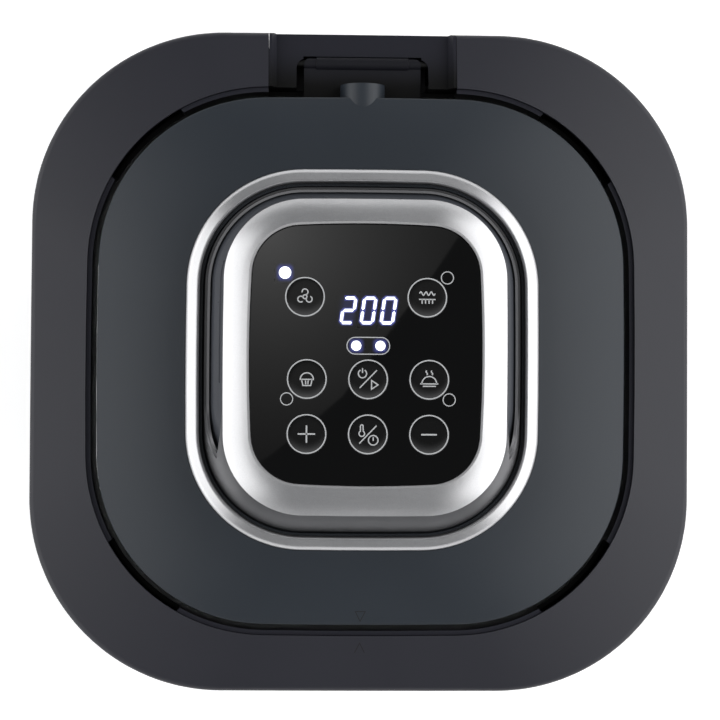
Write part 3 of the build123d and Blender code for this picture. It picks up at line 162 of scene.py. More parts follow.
class FryerPanel(bpy.types.PropertyGroup):
    """Sizes and colours of the marks on the touch panel."""

    ink: tint("Ink", "Colour of the printed marks", (0.58, 0.59, 0.60))
    light: tint("Lamp light", "Colour of the lit marks", (0.90, 0.94, 1.0))
    glow: tint("Glow", "Colour of the haze round the lit marks", (0.17, 0.19, 0.62))
    key: metres("Key diameter", "Outer diameter of a touch key's ring", 0.0182)
    line: metres("Line width", "Width of a ring's printed line", 0.00055)
    well: metres("Key dish", "How far a key's dished face lies below its ring", 0.00020)
    column: metres("Key columns", "Spacing of the keys from left to right", 0.0281)
    shift: metres("Row shift", "How far the lower rows and the display sit to the right", 0.0011)
    row_top: metres("Top row", "Height of the top keys above the panel's middle", 0.0264)
    row_middle: metres("Middle row", "Height of the middle keys above the panel's middle", -0.0113)
    row_bottom: metres("Bottom row", "Height of the bottom keys above the panel's middle", -0.0365)
    lamp: metres("Lamp diameter", "Diameter of a mode lamp", 0.0056)
    lamp_offset: metres("Lamp offset", "How far a lamp lies from its key along each axis", 0.0092)
    lamp_rise: metres("Lamp rise", "How much higher the lit lamp lies above its key", 0.0018)
    digit_height: metres("Digit height", "Height of a display digit", 0.0127)
    digit_width: metres("Digit width", "Width of a display digit", 0.0066)
    digit_pitch: metres("Digit pitch", "Spacing of the display digits", 0.0092)
    digit_line: metres("Digit line", "Width of a digit's bars", 0.00135)
    digit_y: metres("Display height", "Height of the digits above the panel's middle", 0.0203)
    slant: amount("Slant", "Lean of the digits, in degrees", 8.0)
    pill_y: metres("Pill height", "Height of the lamp pill above the panel's middle", 0.0041)
    pill_width: metres("Pill width", "Width of the lamp pill", 0.0196)
    pill_height: metres("Pill depth", "Height of the lamp pill's outline", 0.0077)
    pill_lamp: metres("Pill lamps", "Spacing of the two lamps in the pill", 0.0111)


class FryerStudio(bpy.types.PropertyGroup):
    """Camera, floor and lamps."""

    camera: spot("Camera", "Place of the camera", (-0.0407, -0.0326, 1.268))
    aim: spot("Aim", "Point that the camera looks at", (-0.0003, 0.0005, 0.178))
    left_place: spot("Left softbox", "Middle of the left softbox", (-1.15, -0.10, 1.02))
    right_place: spot("Right softbox", "Middle of the right softbox", (1.05, 0.04, 0.98))
    lamp_aim: spot("Lamp aim", "Point that the softboxes face", (0.0, 0.0, 0.15))
    lens: amount("Lens", "Focal length in millimetres on a 36 millimetre sensor", 112.0)
    roll: amount("Roll", "Turn of the camera about its own axis, in degrees", 0.35)
    floor: tint("Floor", "Pale floor", (0.86, 0.86, 0.86))
    floor_lift: amount("Floor lift", "Light that the floor gives of itself to reach white", 0.60)
    far_lift: amount("Far lift", "Light that the far floor and its rim give of themselves", 0.84)
    surround: tint("Surround", "Pale room round the stage", (0.80, 0.82, 0.85))
    surround_level: amount("Surround level", "Strength of the room's light", 0.20)
    left_level: amount("Left lamp", "Power of the left softbox in watts", 13.5)
    right_level: amount("Right lamp", "Power of the right softbox in watts", 19.0)
    top_level: amount("Top card", "Strength of the card beside the camera", 2.2)
    card_height: metres("Card height", "Height of the card above the floor", 1.35)


class Wire:
    """A shader socket that takes part in arithmetic."""

    def __init__(self, finish, socket):
        self.finish = finish
        self.socket = socket

    def _math(self, operation, first, second):
        return self.finish.add("ShaderNodeMath", {"operation": operation}, {0: first, 1: second})

    def __add__(self, other):
        return self._math("ADD", self, other)

    def __radd__(self, other):
        return self._math("ADD", other, self)

    def __sub__(self, other):
        return self._math("SUBTRACT", self, other)

    def __rsub__(self, other):
        return self._math("SUBTRACT", other, self)

    def __mul__(self, other):
        return self._math("MULTIPLY", self, other)

    def __rmul__(self, other):
        return self._math("MULTIPLY", other, self)

    def __truediv__(self, other):
        return self._math("DIVIDE", self, other)

    def __pow__(self, other):
        return self._math("POWER", self, other)

    def above(self, other):
        """The larger of the two values."""
        return self._math("MAXIMUM", self, other)

    def size(self):
        """The value without its sign."""
        return self._math("ABSOLUTE", self, 0.0)


class Finish:
    """A node material under construction."""

    def __init__(self, name):
        self.material = bpy.data.materials.new(name)
        self.material.use_nodes = True
        self.tree = self.material.node_tree
        self.tree.nodes.clear()

    def add(self, kind, settings=None, sockets=None, output=0):
        """Adds a node: its settings first, then the values or links of its sockets."""
        node = self.tree.nodes.new(kind)
        for key, value in (settings or {}).items():
            setattr(node, key, value)
        for key, value in (sockets or {}).items():
            socket = node.inputs[key]
            if isinstance(value, Wire):
                self.tree.links.new(value.socket, socket)
            else:
                socket.default_value = value
        return Wire(self, node.outputs[output]) if node.outputs else None

    def parts(self, kind, sockets=None):
        """Adds a node and gives all of its outputs by name."""
        node = self.add(kind, sockets=sockets).socket.node
        return {output.name: Wire(self, output) for output in node.outputs}

    def place(self, output=3):
        """Coordinates: 3 is the object's own space, 0 runs from 0 to 1 over its box."""
        return self.add("ShaderNodeTexCoord", output=output)

    def noise(self, size, detail=2.0, rough=0.5, where=None):
        """Noise whose blotches are about as large as the given size in metres."""
        where = where or self.place()
        sockets = {"Vector": where, "Scale": 1.0 / size, "Detail": detail, "Roughness": rough}
        return self.add("ShaderNodeTexNoise", sockets=sockets)

    def mix(self, share, first, second):
        """A colour between two colours."""
        sockets = {0: share, 6: first, 7: second}
        return self.add("ShaderNodeMix", {"data_type": "RGBA"}, sockets, output=2)

    def vector(self, operation, *values, output=0):
        """Arithmetic on vectors."""
        sockets = dict(enumerate(values))
        return self.add("ShaderNodeVectorMath", {"operation": operation}, sockets, output)

    def axes(self, vector=None):
        """The parts of a vector, or else of the place in the object's own space."""
        return self.parts("ShaderNodeSeparateXYZ", {0: vector or self.place()})

    def between(self, value, low, high, change="SMOOTHSTEP"):
        """How far a value has come from a low level to a high one, from 0 to 1."""
        return self.add(
            "ShaderNodeMapRange",
            {"interpolation_type": change},
            {"Value": value, "From Min": low, "From Max": high},
        )

    def bump(self, height, depth, strength=1.0, under=None):
        """A surface normal from a height between 0 and 1 and a real depth in metres."""
        sockets = {"Height": height, "Distance": depth, "Strength": strength}
        if under:
            sockets["Normal"] = under
        return self.add("ShaderNodeBump", sockets=sockets)

    def surface(self, **sockets):
        """The shader at the end, with socket names written with underscores for spaces."""
        named = {key.replace("_", " "): value for key, value in sockets.items()}
        shader = self.add("ShaderNodeBsdfPrincipled", sockets=named)
        return self.end(shader)

    def veil(self, colour, cover):
        """A surface that only adds light of its own."""
        return self.surface(
            Base_Color=NO_LIGHT,
            Specular_IOR_Level=0.0,
            Alpha=cover,
            Emission_Color=shade(colour, 1.0),
            Emission_Strength=1.0,
        )

    def end(self, shader):
        """Links the last shader and gives the material."""
        self.add("ShaderNodeOutputMaterial", sockets={"Surface": shader})
        return self.material


def shade(colour, factor):
    """A colour made lighter or darker, with full alpha."""
    return tuple(min(1.0, part * factor) for part in colour[:3]) + (1.0,)


def moulded_plastic(name, colour, roughness, grain, depth=0.000012):
    """Satin moulded plastic with a fine grain and a faint cloudiness."""
    finish = Finish(name)
    grains = finish.noise(grain, detail=3.0, rough=0.6)
    clouds = finish.noise(size=0.045)
    scuffs = finish.noise(size=0.006, detail=4.0, rough=0.7)
    rub = (scuffs - 0.62).above(0.0) * 0.25
    mottle = clouds * 0.8 + grains * 0.2
    return finish.surface(
        Base_Color=finish.mix(mottle, shade(colour, 0.93), shade(colour, 1.08)),
        Roughness=roughness + (clouds - 0.5) * 0.06 + (grains - 0.5) * 0.05 - rub,
        Normal=finish.bump(grains, depth, strength=0.8),
    )


def satin_silver(name, colour, roughness, flake, lean=0.0, foot=0.0):
    """Silver lacquer over plastic: fine flakes on a band that leans outwards.

    Below a level called the foot, which lies in a groove, painted shade makes the colour nearly
    black.
    """
    finish = Finish(name)
    flakes = finish.add(
        "ShaderNodeTexVoronoi",
        {"feature": "F1"},
        {"Vector": finish.place(), "Scale": 1.0 / flake},
        output=1,
    )
    sparkle = finish.add("ShaderNodeSeparateColor", sockets={0: flakes})
    clouds = finish.noise(size=0.03)
    lacquer = finish.mix(sparkle * 0.7 + clouds * 0.3, shade(colour, 0.90), shade(colour, 1.06))
    # Painted shade: the lacquer's colour falls to nearly black below the foot, in the groove round
    # the pod.
    if foot:
        share = finish.between(finish.axes()["Z"], foot, foot + FOOT_SHADE)
        lacquer = finish.mix(share, shade(colour, 0.12), lacquer)
    return finish.surface(
        Base_Color=lacquer,
        Metallic=0.96,
        Roughness=roughness + (sparkle - 0.5) * 0.08 + (clouds - 0.5) * 0.04,
        Normal=finish.bump(sparkle, 0.000003, strength=0.5, under=leaning_normal(finish, lean)),
    )


def leaning_normal(finish, lean):
    """The surface normal, tipped outwards from the part's middle where the surface is level."""
    place = finish.axes()
    level = finish.parts("ShaderNodeNewGeometry")["Normal"]
    upward = finish.axes(level)["Z"].above(0.0)
    weight = upward * upward * upward * upward * lean
    reach = (place["X"] ** 4.0 + place["Y"] ** 4.0) ** 0.75 + 0.000001
    outward = finish.add(
        "ShaderNodeCombineXYZ",
        sockets={0: place["X"] ** 3.0 / reach * weight, 1: place["Y"] ** 3.0 / reach * weight},
    )
    return finish.vector("NORMALIZE", finish.vector("ADD", level, outward))


def brushed_steel(name, colour, roughness, along):
    """Sheet steel with fine drawn lines along one axis."""
    finish = Finish(name)
    stretch = [1.0, 1.0, 1.0]
    stretch[along] = 0.03
    drawn = finish.vector("MULTIPLY", finish.place(), tuple(stretch))
    lines = finish.noise(size=0.0004, detail=3.0, rough=0.6, where=drawn)
    stains = finish.noise(size=0.02, detail=3.0)
    return finish.surface(
        Base_Color=finish.mix(lines * 0.6 + stains * 0.4, shade(colour, 0.82), shade(colour, 1.1)),
        Metallic=1.0,
        Roughness=roughness + (lines - 0.5) * 0.16 + (stains - 0.5) * 0.08,
        Normal=finish.bump(lines, depth=0.000006, strength=0.5),
    )


def heated_tube(name, colour):
    """Tubular heater: oxidised steel, straw and blue in patches."""
    finish = Finish(name)
    patches = finish.noise(size=0.02, detail=3.0)
    soot = finish.noise(size=0.003, detail=4.0, rough=0.7)
    warm = finish.mix(patches, shade(colour, 0.30), (0.20, 0.13, 0.09, 1.0))
    return finish.surface(
        Base_Color=finish.mix(soot, warm, (0.10, 0.10, 0.13, 1.0)),
        Metallic=0.85,
        Roughness=0.42 + soot * 0.2,
        Normal=finish.bump(soot, depth=0.00003, strength=0.5),
    )


def plastic_with_painted_shade(name, colour, low, high, axis="Z"):
    """Moulded plastic with painted shade: its colour falls to black along an axis, towards a place
    with little light.
    """
    finish = Finish(name)
    grains = finish.noise(size=0.0005, detail=3.0, rough=0.6)
    share = finish.between(finish.axes()[axis], low, high)
    return finish.surface(
        Base_Color=finish.mix(share, PAINTED_SHADE_BLACK, shade(colour, 1.0)),
        Roughness=0.72 - share * 0.2 + (grains - 0.5) * 0.06,
        Normal=finish.bump(grains, depth=0.000012, strength=0.7),
        IOR=1.3,
    )


def soft_rubber(name, colour, roughness=0.62):
    """Moulded rubber or silicone with a dull skin."""
    finish = Finish(name)
    skin = finish.noise(size=0.0008, detail=3.0, rough=0.65)
    dust = (finish.noise(size=0.008, detail=4.0, rough=0.7) - 0.45).above(0.0) * 1.2
    return finish.surface(
        Base_Color=finish.mix(dust, shade(colour, 1.0), shade(colour, 2.0)),
        Roughness=roughness + (skin - 0.5) * 0.14,
        Normal=finish.bump(skin, depth=0.00003, strength=0.6),
    )


def panel_glass(name, colour):
    """Black touch glass: mirror polish with the faintest wipe marks."""
    finish = Finish(name)
    wipes = finish.noise(size=0.018, detail=3.0, rough=0.6)
    specks = finish.noise(size=0.0012)
    return finish.surface(
        Base_Color=finish.mix(specks, shade(colour, 0.9), shade(colour, 1.2)),
        Roughness=0.012 + wipes * 0.02,
        Normal=finish.bump(wipes, depth=0.000002, strength=0.1),
        IOR=1.43,
    )


def key_face(name, colour):
    """A touch key's satin face, with a painted highlight: a faint lighter crescent along its lower
    edge.
    """
    finish = Finish(name)
    place = finish.axes(finish.place(output=0))
    across = place["X"] - 0.5
    below = place["Y"] - 0.80
    highlight_start = 0.48
    rise = 2.9
    # Painted highlight: the colour turns towards the light grey below beyond a reach from a point
    # high in the key.
    away = ((across * across + below * below) ** 0.5 - highlight_start).above(0.0) * rise
    grain = finish.noise(size=0.0004)
    return finish.surface(
        Base_Color=finish.mix(away * away, shade(colour, 1.0), (0.105, 0.105, 0.107, 1.0)),
        Roughness=0.24 + grain * 0.05,
        IOR=1.4,
    )


def clear_glass(name, colour, rim):
    """The bowl's heat-proof glass, with painted shade that darkens its flat rim."""
    finish = Finish(name)
    ripple = finish.noise(size=0.03)
    wash = finish.noise(size=0.012, detail=4.0, rough=0.6)
    low, high = (rim - depth for depth in RIM_SHADE)
    # Painted shade: the glass's colour falls to near black in the rim, under the gap round the
    # lid.
    band = finish.between(finish.axes()["Z"], low, high, "LINEAR")
    clear = finish.mix(ripple, shade(colour, 1.0), shade(colour, 0.98))
    return finish.surface(
        Base_Color=finish.mix(band, clear, shade(colour, 0.03)),
        Roughness=0.006 + (wash - 0.5).above(0.0) * 0.03,
        Normal=finish.bump(ripple, depth=0.00002, strength=0.2),
        Transmission_Weight=1.0,
        IOR=1.47,
    )


def circuit_board(name, colour):
    """Solder-masked board with a copper weave under it."""
    finish = Finish(name)
    tracks = finish.add(
        "ShaderNodeTexBrick",
        {"offset": 0.5, "squash": 1.0},
        {"Vector": finish.place(), "Scale": 60.0, "Mortar Size": 0.03,
         "Color1": shade(colour, 1.0), "Color2": shade(colour, 0.8), "Mortar": shade(colour, 1.8)},
    )
    weave = finish.noise(size=0.0006)
    return finish.surface(
        Base_Color=finish.mix(weave * 0.4, tracks, shade(colour, 0.6)),
        Roughness=0.35 + weave * 0.1,
        Normal=finish.bump(weave, depth=0.00001, strength=0.4),
    )


def printed_ink(name, colour):
    """Screen-printed ink, lightly uneven."""
    finish = Finish(name)
    screen = finish.noise(size=0.0003)
    return finish.surface(
        Base_Color=finish.mix(screen, shade(colour, 0.94), shade(colour, 1.04)),
        Roughness=0.45 + screen * 0.1,
    )


def lit_mark(name, colour, strength):
    """A lit bar or lamp behind the glass, a little hotter in the middle."""
    finish = Finish(name)
    grain = finish.noise(size=0.0008)
    return finish.surface(
        Base_Color=finish.mix(grain, shade(colour, 0.9), shade(colour, 1.0)),
        Roughness=0.25,
        Emission_Color=finish.mix(grain, shade(colour, 0.97), shade(colour, 1.0)),
        Emission_Strength=strength,
    )


def haze(name, colour, half, reach, lean, strength):
    """Light that spills round a lit mark and dies away over a short reach."""
    finish = Finish(name)
    from_middle = finish.vector("SUBTRACT", finish.place(output=0), (0.5, 0.5, 0.5))
    place = finish.axes(from_middle)
    up = place["Y"] * (2.0 * (half[1] + reach))
    across = place["X"] * (2.0 * (half[0] + reach)) - up * math.tan(math.radians(lean))
    out_x = (across.size() - half[0]).above(0.0)
    out_y = (up.size() - half[1]).above(0.0)
    away = (out_x * out_x + out_y * out_y) ** 0.5
    fade = (1.0 - away / reach).above(0.0)
    return finish.veil(colour, fade * fade * strength)


def light_fringe(name, colour, strength):
    """An even band of spilt light along a lit bar."""
    finish = Finish(name)
    grain = finish.noise(size=0.001)
    return finish.veil(colour, strength * (0.9 + grain * 0.2))


def dress(material, *nodes):
    """Gives carried-over nodes their finish."""
    for node in nodes:
        for slot in NODES[node].material_slots:
            slot.material = material


def new_object(name, data):
    """A new object of the scene."""
    made = bpy.data.objects.new(name, data)
    bpy.context.scene.collection.objects.link(made)
    return made


def arc(centre, radius, start, end, steps=24):
    """Points along an arc, angles in degrees."""
    turn = (end - start) / steps
    angles = [math.radians(start + turn * step) for step in range(steps + 1)]
    return [(centre[0] + radius * math.cos(a), centre[1] + radius * math.sin(a)) for a in angles]


def shift(points, centre, scale=1.0, lean=0.0):
    """Points moved to a centre, scaled and leaned over."""
    slope = math.tan(math.radians(lean))
    return [(centre[0] + (x + y * slope) * scale, centre[1] + y * scale) for x, y in points]


def cut_corners(points, cut, closed):
    """A line of points with each corner cut off."""
    count = len(points)
    smooth = []
    for index in range(count):
        here = Vector(points[index])
        if not closed and index in (0, count - 1):
            smooth.append(tuple(here))
            continue
        for other in (points[index - 1], points[(index + 1) % count]):
            smooth.append(tuple(here + (Vector(other) - here).normalized() * cut))
    return smooth


def edge_sides(points, width, closed):
    """The two sides of a ribbon along a flat line of points."""
    count = len(points)
    left = []
    right = []
    for index in range(count):
        here = Vector(points[index])
        last = Vector(points[index - 1]) if index or closed else None
        after = Vector(points[(index + 1) % count]) if index < count - 1 or closed else None
        steps = ((here - last) if last else None, (after - here) if after else None)
        ways = [way.normalized() for way in steps if way]
        along = sum(ways, Vector((0.0, 0.0))).normalized()
        across = Vector((-along[1], along[0]))
        stretch = 1.0 / max(0.35, abs(across.dot(Vector((-ways[0][1], ways[0][0])))))
        left.append(here + across * width / 2 * stretch)
        right.append(here - across * width / 2 * stretch)
    return left, right


class Sheet:
    """Thin flat marks gathered in one mesh."""

    def __init__(self, name):
        self.name = name
        self.mesh = bmesh.new()

    def line(self, points, width, height, closed=False):
        """A ribbon along points."""
        left, right = edge_sides(points, width, closed)
        rows = [
            (self.mesh.verts.new((a[0], a[1], height)), self.mesh.verts.new((b[0], b[1], height)))
            for a, b in zip(left, right)
        ]
        if closed:
            rows.append(rows[0])
        for (a, b), (c, d) in zip(rows, rows[1:]):
            self.mesh.faces.new((a, b, d, c))

    def fill(self, points, height):
        """A filled outline."""
        self.mesh.faces.new([self.mesh.verts.new((x, y, height)) for x, y in points])

    def make(self, material, body, thickness=INK):
        """The finished piece, riding on its body."""
        solid = bmesh.ops.extrude_face_region(self.mesh, geom=self.mesh.faces[:])
        raised = [item for item in solid["geom"] if isinstance(item, bmesh.types.BMVert)]
        bmesh.ops.translate(self.mesh, verts=raised, vec=(0.0, 0.0, thickness))
        bmesh.ops.recalc_face_normals(self.mesh, faces=self.mesh.faces[:])
        data = bpy.data.meshes.new(self.name)
        self.mesh.to_mesh(data)
        self.mesh.free()
        piece = new_object(self.name, data)
        data.materials.append(material)
        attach(piece, body)


def surface_height(node, x, y):
    """Height of a node's top surface under a point."""
    hit, place, _, _ = NODES[node].ray_cast(Vector((x, y, 1.0)), Vector((0.0, 0.0, -1.0)))
    if not hit:
        raise RuntimeError(f"no surface of {node} at {x:.4f}, {y:.4f}")
    return place[2]


def key_places(panel):
    """The eight touch keys: name, centre."""
    top = PANEL_Y + panel.row_top
    centre = PANEL_Y + panel.row_middle
    bottom = PANEL_Y + panel.row_bottom
    middle = PANEL_X + panel.shift
    return {
        "fan": (PANEL_X - panel.column, top),
        "grill": (PANEL_X + panel.column, top),
        "bake": (middle - panel.column, centre),
        "start": (middle, centre),
        "roast": (middle + panel.column, centre),
        "plus": (middle - panel.column, bottom),
        "heat_time": (middle, bottom),
        "minus": (middle + panel.column, bottom),
    }


def fan_icon(line):
    """Three swept blades round a hub."""
    strokes = [(arc((0.0, 0.0), 0.9, 0, 360, 20), line, True)]
    for blade in range(3):
        turn = 120.0 * blade + 90.0
        tip = (3.6 * math.cos(math.radians(turn)), 3.6 * math.sin(math.radians(turn)))
        middle = (tip[0] * 0.62, tip[1] * 0.62)
        strokes.append((arc(middle, 1.35, turn - 160, turn + 100, 18), line, False))
    return strokes


def grill_icon(line):
    """A heating wave over a rack."""
    steps = 24
    wave = [
        (-3.6 + 7.2 * step / steps, 1.9 + 0.8 * math.sin(math.pi * step / 4))
        for step in range(steps + 1)
    ]
    strokes = [(wave, line, False), ([(-3.8, -0.8), (3.8, -0.8)], line, False)]
    for place in (-2.4, -0.8, 0.8, 2.4):
        strokes.append(([(place, -0.8), (place, -2.8)], line, False))
    return strokes


def bake_icon(line):
    """A small cake in its case."""
    case = [(-2.4, -0.2), (-1.8, -3.0), (1.8, -3.0), (2.4, -0.2)]
    crown = arc((0.0, -0.2), 3.0, 0, 180, 20)
    return [
        (case, line, False),
        (crown + [(-2.4, -0.2), (2.4, -0.2)], line, True),
        ([(-0.6, -0.7), (-0.5, -2.5)], line, False),
        ([(0.6, -0.7), (0.5, -2.5)], line, False),
    ]


def roast_icon(line):
    """A covered dish with rising heat."""
    strokes = [
        (arc((0.0, -1.9), 3.4, 0, 180, 22), line, False),
        ([(-4.2, -1.9), (4.2, -1.9)], line, False),
        ([(-3.0, -3.0), (3.0, -3.0)], line, False),
    ]
    for place in (-1.2, 1.2):
        wisp = [
            (place + 0.35 * math.sin(math.pi * step / 4), 2.2 + 0.25 * step) for step in range(9)
        ]
        strokes.append((wisp, line, False))
    return strokes


def start_icon(line):
    """Power and start, split by a slash."""
    power = arc((-2.6, 2.6), 1.9, 120, 420, 24)
    return [
        (power, line, False),
        ([(-2.6, 5.1), (-2.6, 2.9)], line, False),
        ([(-3.9, -4.0), (4.0, 4.2)], line, False),
        ([(1.6, -0.5), (1.6, -4.5), (4.6, -2.5)], line, True),
    ]


def heat_time_icon(line):
    """Thermometer and clock, split by a slash."""
    outline = arc((-2.76, 0.32), 1.28, 120, 420, 20) + arc((-2.76, 3.76), 0.6, 0, 180, 8)
    return [
        (outline, line, True),
        ([(-3.9, -4.2), (4.0, 4.0)], line, False),
        (arc((2.5, -2.7), 2.2, 0, 360, 24), line, True),
        ([(2.5, -1.3), (2.5, -3.0)], line, False),
    ]


def plus_icon(line):
    """A plus sign."""
    return [
        ([(-4.0, 0.0), (4.0, 0.0)], line * BOLD, False),
        ([(0.0, -4.0), (0.0, 4.0)], line * BOLD, False),
    ]


def minus_icon(line):
    """A minus sign."""
    return [([(-3.6, 0.0), (3.6, 0.0)], line * BOLD, False)]


ICONS = {
    "fan": fan_icon,
    "grill": grill_icon,
    "bake": bake_icon,
    "roast": roast_icon,
    "start": start_icon,
    "heat_time": heat_time_icon,
    "plus": plus_icon,
    "minus": minus_icon,
}


def dished_key(name, centre, radius, well, material):
    """A touch key's face: a narrow raised lip and a shallow dish inside it."""
    rings = 14
    spokes = 64
    steepness = 12
    mesh = bmesh.new()
    profile = [(radius * 1.06, 0.0), (radius * 1.02, well * 0.8), (radius, well)]
    for ring in range(1, rings + 1):
        share = 1.0 - ring / rings
        profile.append((radius * share, INK + (well - INK) * share**steepness))
    loops = []
    for out, rise in profile[:-1]:
        loop = []
        for spoke in range(spokes):
            angle = 2 * math.pi * spoke / spokes
            x = centre[0] + out * math.cos(angle)
            y = centre[1] + out * math.sin(angle)
            loop.append(mesh.verts.new((x, y, GLASS_TOP + rise)))
        loops.append(loop)
    middle = mesh.verts.new((centre[0], centre[1], GLASS_TOP + profile[-1][1]))
    for outer, inner in zip(loops, loops[1:]):
        for spoke in range(spokes):
            after = (spoke + 1) % spokes
            mesh.faces.new((outer[spoke], outer[after], inner[after], inner[spoke]))
    for spoke in range(spokes):
        mesh.faces.new((loops[-1][spoke], loops[-1][(spoke + 1) % spokes], middle))
    for face in mesh.faces:
        face.smooth = True
    data = bpy.data.meshes.new(name)
    mesh.to_mesh(data)
    mesh.free()
    piece = new_object(name, data)
    data.materials.append(material)
    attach(piece, "lid")


SEGMENTS = {
    "top": ((0, 2), (1, 2)),
    "upper_right": ((1, 2), (1, 1)),
    "lower_right": ((1, 1), (1, 0)),
    "bottom": ((1, 0), (0, 0)),
    "lower_left": ((0, 0), (0, 1)),
    "upper_left": ((0, 1), (0, 2)),
    "middle": ((0, 1), (1, 1)),
}
STROKES = {
    "2": ((0, 2), (1, 2), (1, 1), (0, 1), (0, 0), (1, 0)),
    "0": ((0, 0), (1, 0), (1, 2), (0, 2)),
}
LIT = {
    "2": ("top", "upper_right", "middle", "lower_left", "bottom"),
    "0": ("top", "upper_right", "lower_right", "bottom", "lower_left", "upper_left"),
}


def segment_outline(start, end, size, width):
    """A display bar with pointed ends between two corners of a digit's grid."""
    first = Vector(((start[0] - 0.5) * size[0], (start[1] / 2 - 0.5) * size[1]))
    last = Vector(((end[0] - 0.5) * size[0], (end[1] / 2 - 0.5) * size[1]))
    along = (last - first).normalized()
    across = Vector((-along[1], along[0]))
    gap = width * 0.16
    half = width / 2
    first = first + along * gap
    last = last - along * gap
    return [
        first,
        first + (along + across) * half,
        last + (across - along) * half,
        last,
        last - (along + across) * half,
        first + (along - across) * half,
    ]


class FRYER_OT_plastics(bpy.types.Operator):
    """Finish the collar, base, column, lid and inner mouldings"""

    bl_idname = "fryer.plastics"
    bl_label = "Moulded Plastics"

    def execute(self, context):
        colours = context.scene.fryer_finishes
        collar = moulded_plastic("collar_satin", colours.collar, 0.46, colours.grain)
        dress(collar, "collar_top", "base_housing", "rear_column_front", "rear_column_cover")
        # Painted shade: the cap and the tongue, in darker copies of the collar's colour, fall to
        # black towards the lid's edge.
        edge = LID_HIGH[1] - MILLIMETRE
        cap = plastic_with_painted_shade("cap_painted_shade", shade(colours.collar, 0.90), edge, edge + CAP_SHADE, "Y")
        dress(cap, "column_cap")
        tongue = plastic_with_painted_shade(
            "tongue_painted_shade", shade(colours.collar, 0.45), edge, edge + TONGUE_SHADE, "Y"
        )
        dress(tongue, "hinge_tongue")
        dress(moulded_plastic("lid_satin", colours.lid, 0.46, colours.grain), "lid_cover")
        dark = moulded_plastic("inner_dark", colours.dark, 0.50, colours.grain * 1.6)
        dress(dark, "base_bottom_cover", "power_inlet", "display_module")
        # Painted shade: the collar's inner ledge falls to black down into the groove under the
        # lid.
        low, high = (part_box("collar_inner")[1][2] - depth for depth in LEDGE_SHADE)
        dress(plastic_with_painted_shade("ledge_painted_shade", colours.collar, low, high), "collar_inner")
        # Painted shade: the lid's plate ring is darker towards the bottom, falling to black at the
        # floor, so the gap round the lid reads black.
        dress(plastic_with_painted_shade("plate_painted_shade", colours.dark, 0.0, LID_HIGH[2]), "lid_plate_ring")
        pod = moulded_plastic("pod_blue_grey", colours.pod, 0.30, colours.grain, depth=0.000006)
        dress(pod, "pod_liner", "release_button", "button_carrier")
        return {"FINISHED"}


class FRYER_OT_silver(bpy.types.Operator):
    """Finish the silver trim ring, pod and bezel"""

    bl_idname = "fryer.silver"
    bl_label = "Silver Trim"

    def execute(self, context):
        colours = context.scene.fryer_finishes
        flake = colours.flake
        dress(satin_silver("ring_satin", colours.silver, 0.34, flake, lean=0.46), "lid_trim_ring")
        dress(satin_silver("bezel_satin", colours.silver, 0.36, flake), "pod_bezel")
        foot = LID_HIGH[2] + FOOT_RISE
        dress(satin_silver("pod_gunmetal_and_shade", colours.gunmetal, 0.34, flake, foot=foot), "pod_shell")
        return {"FINISHED"}


class FRYER_OT_metals(bpy.types.Operator):
    """Finish the heater, fan, motor, shield, guard, pins and screws"""

    bl_idname = "fryer.metals"
    bl_label = "Inner Metals"

    def execute(self, context):
        colours = context.scene.fryer_finishes
        sheet = brushed_steel("sheet_steel", colours.steel, 0.32, 0)
        dress(sheet, "heat_shield", "heater_guard", "heater_clips", "motor_bracket")
        dress(sheet, "temperature_probe", "button_spring")
        turned = brushed_steel("turned_steel", colours.steel, 0.26, 2)
        dress(turned, "motor_shaft", "fan_nut", "base_screws", "cap_screws")
        dress(turned, "inlet_screws", "lid_screws", "tongue_screws")
        dress(brushed_steel("blackened_pin", shade(colours.steel, 0.06), 0.45, 0), "hinge_pin")
        cast = brushed_steel("fan_aluminium", shade(colours.steel, 1.25), 0.40, 1)
        dress(cast, "convection_fan", "cooling_fan")
        dress(brushed_steel("motor_can", shade(colours.steel, 0.6), 0.45, 2), "fan_motor")
        dress(heated_tube("heater_oxide", colours.steel), "heater_coil")
        dress(brushed_steel("pin_brass", colours.brass, 0.28, 1), "inlet_pins")
        return {"FINISHED"}


class FRYER_OT_bowl(bpy.types.Operator):
    """Finish the glass bowl, its pads, the crisper plate and the rubber pieces"""

    bl_idname = "fryer.bowl"
    bl_label = "Bowl and Rubber"

    def execute(self, context):
        colours = context.scene.fryer_finishes
        dress(clear_glass("bowl_clear", colours.bowl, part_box("glass_bowl")[1][2]), "glass_bowl")
        grain = colours.grain * 2
        coat = moulded_plastic("crisper_coat", colours.coating, 0.34, grain, depth=0.00002)
        dress(coat, "crisper_plate")
        dress(soft_rubber("foot_rubber", colours.rubber), "rubber_feet")
        silicone = soft_rubber("silicone_grey", colours.silicone, 0.5)
        dress(silicone, "lid_seal", "bowl_seat_pads", "crisper_bumpers")
        return {"FINISHED"}


class FRYER_OT_boards(bpy.types.Operator):
    """Finish the circuit boards inside the pod"""

    bl_idname = "fryer.boards"
    bl_label = "Circuit Boards"

    def execute(self, context):
        colours = context.scene.fryer_finishes
        dress(circuit_board("board_green", colours.board), "control_board", "power_board")
        return {"FINISHED"}


